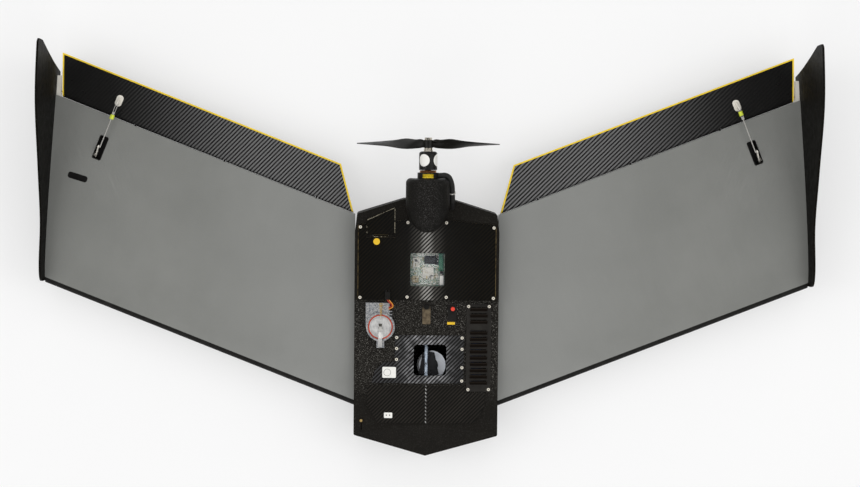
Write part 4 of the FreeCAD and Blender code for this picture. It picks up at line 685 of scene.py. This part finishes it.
def chip_paint(size, low, _):
    """Chips differ from one to the next. The board itself keeps its paint."""
    if size.x >= 40.0:
        return None
    return ("chip_black", "chip_metal", "chip_tan")[int(abs(low.x + low.y)) % 3]


repaint("release_plate", lambda size, low, high: "red_band" if size.y < 37.0 else None)
repaint("hinge_lugs", lug_paint)
repaint("button_plate", lambda size, low, high: "silver_cast" if size.y < 12.0 else None)
repaint("lead_sleeve", lambda size, low, high: "steel" if size.length < 20.0 else None)
repaint("power_plug", lambda size, low, high: "brass_pin" if size.x < 2.5 else None)
repaint("power_lead", lambda size, low, high: "lead_red" if high.x < -49.5 else None)
repaint("autopilot_board", chip_paint)
for side in ("left", "right"):
    repaint(f"{side}_pushrod", lambda size, low, high: "neon_keeper" if size.length < 25.0 else None)
    repaint(f"{side}_control_horn", lambda size, low, high: "screw_steel" if size.length < 6.0 else None)


# ---------------------------------------------------------------- pieces that Blender adds
trees = {}


def surface(node, x, y):
    """Highest point of a CAD node over (x, y) in mm, and its normal."""
    if node not in trees:
        mesh = nodes[node].data
        places = [vertex.co for vertex in mesh.vertices]
        trees[node] = BVHTree.FromPolygons(places, [polygon.vertices for polygon in mesh.polygons])
    point, normal, _, _ = trees[node].ray_cast(Vector((x * mm, y * mm, 1.0)), Vector((0, 0, -1)))
    return point, normal


def mesh_object(name, vertices, faces, paint, body, smooth=True):
    mesh = bpy.data.meshes.new(name)
    mesh.from_pydata([tuple(v) for v in vertices], [], faces)
    mesh.validate()
    mesh.update()
    piece = bpy.data.objects.new(name, mesh)
    bpy.context.scene.collection.objects.link(piece)
    mesh.materials.append(paint)
    for polygon in mesh.polygons:
        polygon.use_smooth = smooth
    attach(piece, body)
    return piece


def ring_faces(count, rings, first=0, flip=False):
    """Quads that join each ring of count vertices to the next ring."""
    faces = []
    for ring in range(rings - 1):
        inner = first + ring * count
        outer = inner + count
        for i in range(count):
            j = (i + 1) % count
            face = (inner + i, inner + j, outer + j, outer + i)
            faces.append(face[::-1] if flip else face)
    return faces


def rounded_outline(half_x, half_y, radius):
    steps = 8
    points = []
    for quarter in range(4):
        centre_x = (half_x - radius) * (1 if quarter in (0, 3) else -1)
        centre_y = (half_y - radius) * (1 if quarter in (0, 1) else -1)
        for step in range(steps + 1):
            angle = math.pi / 2 * (quarter + step / steps)
            points.append((centre_x + radius * math.cos(angle), centre_y + radius * math.sin(angle)))
    return points


def sticker(name, node, centre, outline, paint, body, thickness=0.16, turn=0.0):
    """A thin label with a soft edge that lies on a CAD node's upper face."""
    gap = 0.02
    rings = [(1.0, 0.0), (1.0, thickness * 0.7), (0.975, thickness), (0.7, thickness), (0.35, thickness)]
    cosine, sine = math.cos(math.radians(turn)), math.sin(math.radians(turn))
    vertices = []
    for scale, lift in rings:
        for x, y in outline:
            px = centre[0] + scale * (x * cosine - y * sine)
            py = centre[1] + scale * (x * sine + y * cosine)
            point, normal = surface(node, px, py)
            vertices.append(point + normal * (lift + gap) * mm)
    point, normal = surface(node, *centre)
    vertices.append(point + normal * (thickness + gap) * mm)
    count = len(outline)
    faces = ring_faces(count, len(rings))
    last = (len(rings) - 1) * count
    for i in range(count):
        faces.append((last + i, last + (i + 1) % count, len(vertices) - 1))
    return mesh_object(name, vertices, faces, paint, body)


def circle(radius, steps=36):
    angles = [math.tau * i / steps for i in range(steps)]
    return [(radius * math.cos(angle), radius * math.sin(angle)) for angle in angles]


# Blank labels, placed from the edges of their hatches
hatch_centre_x = (hatch_low.x + hatch_high.x) / 2 / mm
hatch_rear_y = hatch_high.y / mm
camera_front_y = camera_hatch_low.y / mm
nose_front_y = front_low.y / mm
yellow = paints["label_yellow"]
white = paints["label_white"]
ink = paints["label_ink"]
dark = paints["label_dark"]
round_place = (hatch_centre_x - 73.3, hatch_rear_y - 31.5)
hatch_label_place = (-53.6, camera_front_y + 15.4)
nose_label_place = (-54.6, nose_front_y + 11.0)
hatch_outline = rounded_outline(9.9, 8.0, 1.6)
nose_outline = rounded_outline(6.1, 4.0, 1.2)
tip_outline = rounded_outline(14.6, 4.6, 3.6)
sticker("round_sticker", "rear_hatch", round_place, circle(4.8), yellow, "airframe")
sticker("button_label", "top_deck", (36.0, -2.6), rounded_outline(5.6, 1.95, 0.5), yellow, "airframe")
sticker("hatch_label", "camera_hatch", hatch_label_place, hatch_outline, white, "airframe")
sticker("nose_label", "front_hatch", nose_label_place, nose_outline, white, "airframe")
sticker("tip_label", "right_wing_panel", (-510.5, 205.5), tip_outline, dark, "airframe", turn=-17.0)


def ring_mark(name, node, centre, radius, width, paint):
    """A printed ring, drawn as a thin raised annulus."""
    steps = 48
    lift = 0.21
    vertices = []
    for r in (radius - width / 2, radius + width / 2):
        for x, y in circle(r, steps):
            point, normal = surface(node, centre[0] + x, centre[1] + y)
            vertices.append(point + normal * lift * mm)
    return mesh_object(name, vertices, ring_faces(steps, 2), paint, "airframe")


ring_mark("hatch_label_ring", "camera_hatch", (-56.4, camera_front_y + 15.2), 5.0, 0.45, ink)
for index, x in enumerate((-57.2, -52.4)):
    dot = (x, nose_front_y + 11.2)
    sticker(f"nose_label_dot_{index}", "front_hatch", dot, circle(0.95, 16), ink, "airframe", 0.22)


def flap_edges():
    """Pale dashes along the access flap's edges: bare chipped edges, and along its rear edge mostly a
    painted highlight.
    """
    inset, rear_inset, lift = 0.5, 0.7, 0.08
    low, high = (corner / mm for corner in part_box("access_flap"))
    mesh = nodes["access_flap"].data
    tops = [v.co / mm for v in mesh.vertices if v.co.z / mm > low.z]
    rear_low = max((p for p in tops if p.x < low.x + 2.0), key=lambda p: p.y)
    rear_high = max((p for p in tops if p.x > high.x - 2.0), key=lambda p: p.y)
    corners = [
        (low.x + inset, low.y + inset),
        (high.x - inset, low.y + inset),
        (high.x - inset, rear_high.y - rear_inset),
        (low.x + inset, rear_low.y - rear_inset),
    ]
    draw = random.Random(5)
    vertices, faces = [], []
    for index, share_drawn in ((0, 0.55), (1, 0.75), (2, 0.95), (3, 0.5)):
        start, end = Vector(corners[index]), Vector(corners[(index + 1) % 4])
        along = (end - start).normalized()
        across = Vector((-along.y, along.x))
        place = 1.0
        while place < (end - start).length - 4.0:
            length = draw.uniform(1.2, 4.2)
            if draw.random() < share_drawn:
                first = len(vertices)
                half = draw.uniform(0.12, 0.3)
                for shift, side in ((0.0, -half), (length, -half), (length + 0.4, half), (-0.3, half)):
                    spot = start + along * (place + shift) + across * side
                    point, normal = surface("access_flap", spot.x, spot.y)
                    if point is None:
                        break
                    vertices.append(point + normal * lift * mm)
                if len(vertices) == first + 4:
                    faces.append((first, first + 1, first + 2, first + 3))
                else:
                    del vertices[first:]
            place += length + draw.uniform(0.3, 1.2)
    return mesh_object("flap_chipped_edge_and_glint", vertices, faces, paints["edge_wear"], "access_flap", smooth=False)


flap_edges()


bell_low, bell_high = (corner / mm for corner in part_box("motor_bell"))
bell_radius = (bell_high.x - bell_low.x) / 2
bell_axis_z = (bell_low.z + bell_high.z) / 2


def bell_sticker(name, degrees, y, radius):
    """A blank round sticker wrapped on the motor bell, degrees around from its top."""
    vertices = []
    steps, rings = 40, 5
    for ring in range(rings + 1):
        r = radius * ring / rings
        lift = 0.14 if ring < rings else 0.03
        for i in range(steps):
            along = r * math.sin(math.tau * i / steps)
            around = math.radians(degrees) + r * math.cos(math.tau * i / steps) / bell_radius
            reach = bell_radius + lift
            place = Vector((reach * math.sin(around), y + along, bell_axis_z + reach * math.cos(around)))
            vertices.append(place * mm)
    return mesh_object(name, vertices, ring_faces(steps, rings + 1), paints["label_white"], "rotor")


bell_sticker_y = (bell_low.y + bell_high.y) / 2 + 0.8
bell_sticker("bell_sticker_a", -30.0, bell_sticker_y, 8.8)
bell_sticker("bell_sticker_b", 74.0, bell_sticker_y, 8.8)
bell_sticker("bell_sticker_c", 178.0, bell_sticker_y, 8.8)


def screw_sockets():
    """A dark hexagonal disc on each deck screw, as painted shade in its socket."""
    vertices, faces = [], []
    for _, low, high in islands("deck_screws"):
        point, normal = surface("deck_screws", (low.x + high.x) / 2, (low.y + high.y) / 2)
        side = normal.orthogonal().normalized()
        front = normal.cross(side)
        first = len(vertices)
        for radius, lift in ((0.8, 0.02), (0.7, 0.05), (0.65, 0.012)):
            for x, y in circle(radius, 6):
                vertices.append(point + (side * x + front * y + normal * lift) * mm)
        faces += ring_faces(6, 3, first)
        faces.append(tuple(first + 12 + i for i in range(6)))
    return mesh_object("screw_sockets", vertices, faces, paints["socket_shade"], "airframe", smooth=False)


screw_sockets()


def tube(name, points, radius, paint, body, closed=False):
    """A round wire through points in mm."""
    curve = bpy.data.curves.new(name, "CURVE")
    curve.dimensions = "3D"
    curve.bevel_depth = radius * mm
    curve.bevel_resolution = 3
    curve.use_fill_caps = True
    spline = curve.splines.new("NURBS")
    spline.points.add(len(points) - 1)
    for target, point in zip(spline.points, points):
        target.co = (*(c * mm for c in point), 1.0)
    spline.order_u = 4
    spline.use_endpoint_u = not closed
    spline.use_cyclic_u = closed
    spline.resolution_u = 6
    curve.materials.append(paint)
    piece = bpy.data.objects.new(name, curve)
    bpy.context.scene.collection.objects.link(piece)
    bpy.context.view_layer.objects.active = piece
    piece.select_set(True)
    bpy.ops.object.convert(target="MESH")
    piece.select_set(False)
    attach(piece, body)
    return piece


# Twisted wire catch over the release dial: two strands that wind round each other, a hook and a loop
catch_x = -66.3
catch_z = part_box("release_dial")[1].z / mm + 1.1
catch_rear_y = 24.0
catch_length = 17.0
catch_turns = 1.6
catch_steps = 40
wire_radius = 0.55
for strand in (0, 1):
    route = []
    for step in range(catch_steps + 1):
        share = step / catch_steps
        y = catch_rear_y - catch_length * share
        swing = 1.9 * (1 - share) ** 1.2 + 0.35
        angle = math.pi * strand + share * math.tau * catch_turns
        route.append((catch_x + swing * math.cos(angle), y, catch_z + 0.62 * math.sin(angle)))
    tube(f"catch_wire_{strand}", route, wire_radius, paints["brass_pin"], "airframe")
hook = [(catch_x, y, catch_z + rise) for y, rise in ((7.2, 0.0), (5.4, 0.3), (3.6, 0.1), (2.6, -0.4))]
tube("catch_hook", hook, 0.62, paints["steel"], "airframe")
loop = [(catch_x + 2.0 * x, 24.4 + 1.7 * y, catch_z - 0.2) for x, y in circle(1.0, 10)]
tube("catch_loop", loop, wire_radius, paints["brass_pin"], "airframe", closed=True)


def dial_lever():
    """Lever on the release dial, and a dark square on it as painted shade in its socket."""
    low, high = (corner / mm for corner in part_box("release_dial"))
    centre_x = (low.x + high.x) / 2
    centre_y = high.y - (high.x - low.x) / 2
    outline = [(-1.0, 1.0), (1.0, 1.0), (1.0, -1.0), (-1.0, -1.0)]
    parts = (
        ("dial_lever", (centre_x, centre_y - 8.4), 3.2, 9.4, 1.5, "lever_steel"),
        ("dial_socket", (centre_x, centre_y + 2.2), 2.7, 2.6, 0.3, "socket_shade"),
    )
    for name, centre, half_x, half_y, height, paint in parts:
        vertices = []
        for shrink, lift in ((1.0, 0.0), (1.0, height * 0.7), (0.82, height)):
            for x, y in outline:
                corner_x = centre[0] + x * half_x * shrink
                corner_y = centre[1] + y * half_y * shrink
                point, normal = surface("release_dial", corner_x, corner_y)
                if point is None:
                    point, normal = surface("release_dial", *centre)
                vertices.append(point + normal * lift * mm)
        faces = ring_faces(4, 3, flip=True)
        faces.append((11, 10, 9, 8))
        mesh_object(name, vertices, faces, paints[paint], "release_dial", smooth=False)


dial_lever()


def board_parts():
    """Small components on the autopilot board, seen through its window. None overlaps another."""
    tries = 900
    gap = 0.2
    window_low, window_high = (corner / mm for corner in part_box("electronics_window"))
    common = ("chip_metal", "chip_metal", "chip_tan", "chip_black", "label_white", "chip_metal")
    draw = random.Random(11)
    groups = {"chip_black": [], "chip_metal": [], "chip_tan": [], "label_white": [], "board_green": []}
    taken = []

    def place(x, y, sx, sy, height, paint):
        for ox, oy, osx, osy in taken:
            if abs(x - ox) < (sx + osx) / 2 + gap and abs(y - oy) < (sy + osy) / 2 + gap:
                return
        point, _ = surface("autopilot_board", x, y)
        if point is None:
            return
        taken.append((x, y, sx, sy))
        groups[paint].append((x, y, point.z / mm, sx, sy, height))

    place(window_high.x - 5.0, window_high.y - 14.0, 7.0, 26.0, 2.6, "board_green")
    place(window_high.x - 4.0, window_low.y + 8.0, 6.0, 14.0, 4.2, "label_white")
    place(window_low.x + 29.0, window_high.y - 11.0, 17.0, 11.0, 3.0, "chip_black")
    for _ in range(tries):
        x = draw.uniform(window_low.x + 1.0, window_high.x - 1.0)
        y = draw.uniform(window_low.y + 1.0, window_high.y - 1.0)
        long_side = draw.choice((1.0, 1.3, 1.7, 2.4, 3.2, 4.4))
        short_side = draw.choice((0.8, 1.0, 1.4, 2.0))
        sx, sy = (long_side, short_side) if draw.random() < 0.5 else (short_side, long_side)
        paint = draw.choice(common)
        place(x, y, sx, sy, draw.uniform(0.5, 1.6), paint)
    for paint, boxes in groups.items():
        vertices, faces = [], []
        for x, y, z, sx, sy, height in boxes:
            inset = min(sx, sy) * 0.14
            first = len(vertices)
            for shrink, level in ((0.0, 0.0), (0.0, height - inset), (inset, height)):
                for cx, cy in ((-1, -1), (1, -1), (1, 1), (-1, 1)):
                    corner = Vector((x + cx * (sx / 2 - shrink), y + cy * (sy / 2 - shrink), z + level))
                    vertices.append(corner * mm)
            faces += ring_faces(4, 3, first)
            faces.append((first + 8, first + 9, first + 10, first + 11))
            faces.append((first + 3, first + 2, first + 1, first))
        mesh_object(f"board_{paint}", vertices, faces, paints[paint], "airframe", smooth=False)


board_parts()


def camera_glass():
    """The camera window as a clear sheet that bends softly over the ridge, with round corners."""
    low, high = (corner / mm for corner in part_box("camera_window"))
    softness = 7.0
    corner = 5.0
    columns, rows = 44, 40
    centre = ((low.x + high.x) / 2, (low.y + high.y) / 2)
    half = ((high.x - low.x) / 2, (high.y - low.y) / 2)
    vertices, faces = [], []
    for j in range(rows + 1):
        for i in range(columns + 1):
            x = low.x + (high.x - low.x) * i / columns - centre[0]
            y = low.y + (high.y - low.y) * j / rows - centre[1]
            over_x, over_y = abs(x) - (half[0] - corner), abs(y) - (half[1] - corner)
            if over_x > 0 and over_y > 0:
                reach = max(over_x, over_y)
                length = math.hypot(over_x, over_y)
                x = math.copysign(half[0] - corner + over_x * reach / length, x)
                y = math.copysign(half[1] - corner + over_y * reach / length, y)
            x += centre[0]
            y += centre[1]
            z = high.z - deck_slope * math.hypot(x, softness) + 0.02
            vertices.append((x * mm, y * mm, z * mm))
    for j in range(rows):
        for i in range(columns):
            first = j * (columns + 1) + i
            faces.append((first, first + 1, first + columns + 2, first + columns + 1))
    piece = mesh_object("camera_glass", vertices, faces, paints["ridge_window"], "airframe")
    sheet = piece.modifiers.new("thickness", "SOLIDIFY")
    sheet.thickness = 1.0 * mm
    sheet.offset = -1.0
    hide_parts("camera_window")
    return piece


camera_glass()


# ---------------------------------------------------------------- stage, lights and camera
floor_paint = Paint("floor")
floor_tone = floor_paint.mix(floor_paint.noise(400.0, 3.0), (0.435, 0.435, 0.435), (0.45, 0.45, 0.45))
floor_paint.finish(floor_tone, 0.9, 0.0, Specular_IOR_Level=0.1, Emission_Strength=0.46)
floor_paint.put(floor_paint.shader.inputs["Emission Color"], (1.0, 1.0, 1.0))
floor_half = 12.0
floor_mesh = bpy.data.meshes.new("floor")
floor_signs = ((-1, -1), (1, -1), (1, 1), (-1, 1))
floor_corners = [(x * floor_half, y * floor_half, 0) for x, y in floor_signs]
floor_mesh.from_pydata(floor_corners, [], [(0, 1, 2, 3)])
floor_mesh.materials.append(floor_paint.material)
floor = bpy.data.objects.new("floor", floor_mesh)
bpy.context.scene.collection.objects.link(floor)
floor.location.z = -0.0005


def softbox(name, place, target, size, power):
    data = bpy.data.lights.new(name, "AREA")
    data.shape = "RECTANGLE"
    data.size, data.size_y = size
    data.energy = power
    lamp = bpy.data.objects.new(name, data)
    bpy.context.scene.collection.objects.link(lamp)
    lamp.location = place
    lamp.rotation_mode = "QUATERNION"
    lamp.rotation_quaternion = (Vector(target) - Vector(place)).to_track_quat("-Z", "Y")
    lamp.visible_camera = False
    return lamp


middle = (0.0, 0.08, 0.05)
softbox("softbox_right", (-2.6, 0.3, 2.6), middle, (1.6, 3.0), 22.0)
softbox("softbox_left", (2.6, 0.3, 2.6), middle, (1.6, 3.0), 22.0)
softbox("softbox_nose", (0.0, -2.7, 2.4), middle, (2.6, 1.2), 14.0)
softbox("softbox_tail", (0.0, 3.0, 2.4), middle, (2.6, 1.2), 12.0)
softbox("strip_top", (0.075, -0.26, 4.3), (0.075, -0.26, 0.0), (0.06, 0.75), 2.2)

# The studio lights the part fully, is dim in its reflections, and is pale grey to the camera
world = bpy.data.worlds.new("studio")
world.use_nodes = True
tree = world.node_tree
rays = tree.nodes.new("ShaderNodeLightPath")


def glow(node, grey, strength):
    node.inputs["Color"].default_value = (grey, grey, grey, 1.0)
    node.inputs["Strength"].default_value = strength
    return node


def by_ray(kind, usual, special):
    """The special shader for rays of one kind, the usual one for all the others."""
    node = tree.nodes.new("ShaderNodeMixShader")
    tree.links.new(rays.outputs[kind], node.inputs[0])
    tree.links.new(usual.outputs[0], node.inputs[1])
    tree.links.new(special.outputs[0], node.inputs[2])
    return node


ambient = glow(tree.nodes["Background"], 1.0, 0.8)
reflected = glow(tree.nodes.new("ShaderNodeBackground"), 1.0, 0.13)
backdrop = glow(tree.nodes.new("ShaderNodeBackground"), 0.93, 1.0)
studio = by_ray("Is Camera Ray", by_ray("Is Glossy Ray", ambient, reflected), backdrop)
tree.links.new(studio.outputs[0], tree.nodes["World Output"].inputs[0])
bpy.context.scene.world = world
bpy.context.scene.view_settings.view_transform = "Standard"

# Nearly straight above, as in the photo
camera_data = bpy.data.cameras.new("camera")
camera = bpy.data.objects.new("camera", camera_data)
bpy.context.scene.collection.objects.link(camera)
camera.location = (-0.0752, 0.3510, 4.2625)
camera.rotation_mode = "XYZ"
camera.rotation_euler = tuple(math.radians(a) for a in (-3.254, 0.132, 0.447))
camera_data.lens = 120.79
camera_data.shift_x = 0.0698
camera_data.clip_start = 0.1
camera_data.clip_end = 60.0
bpy.context.scene.camera = camera
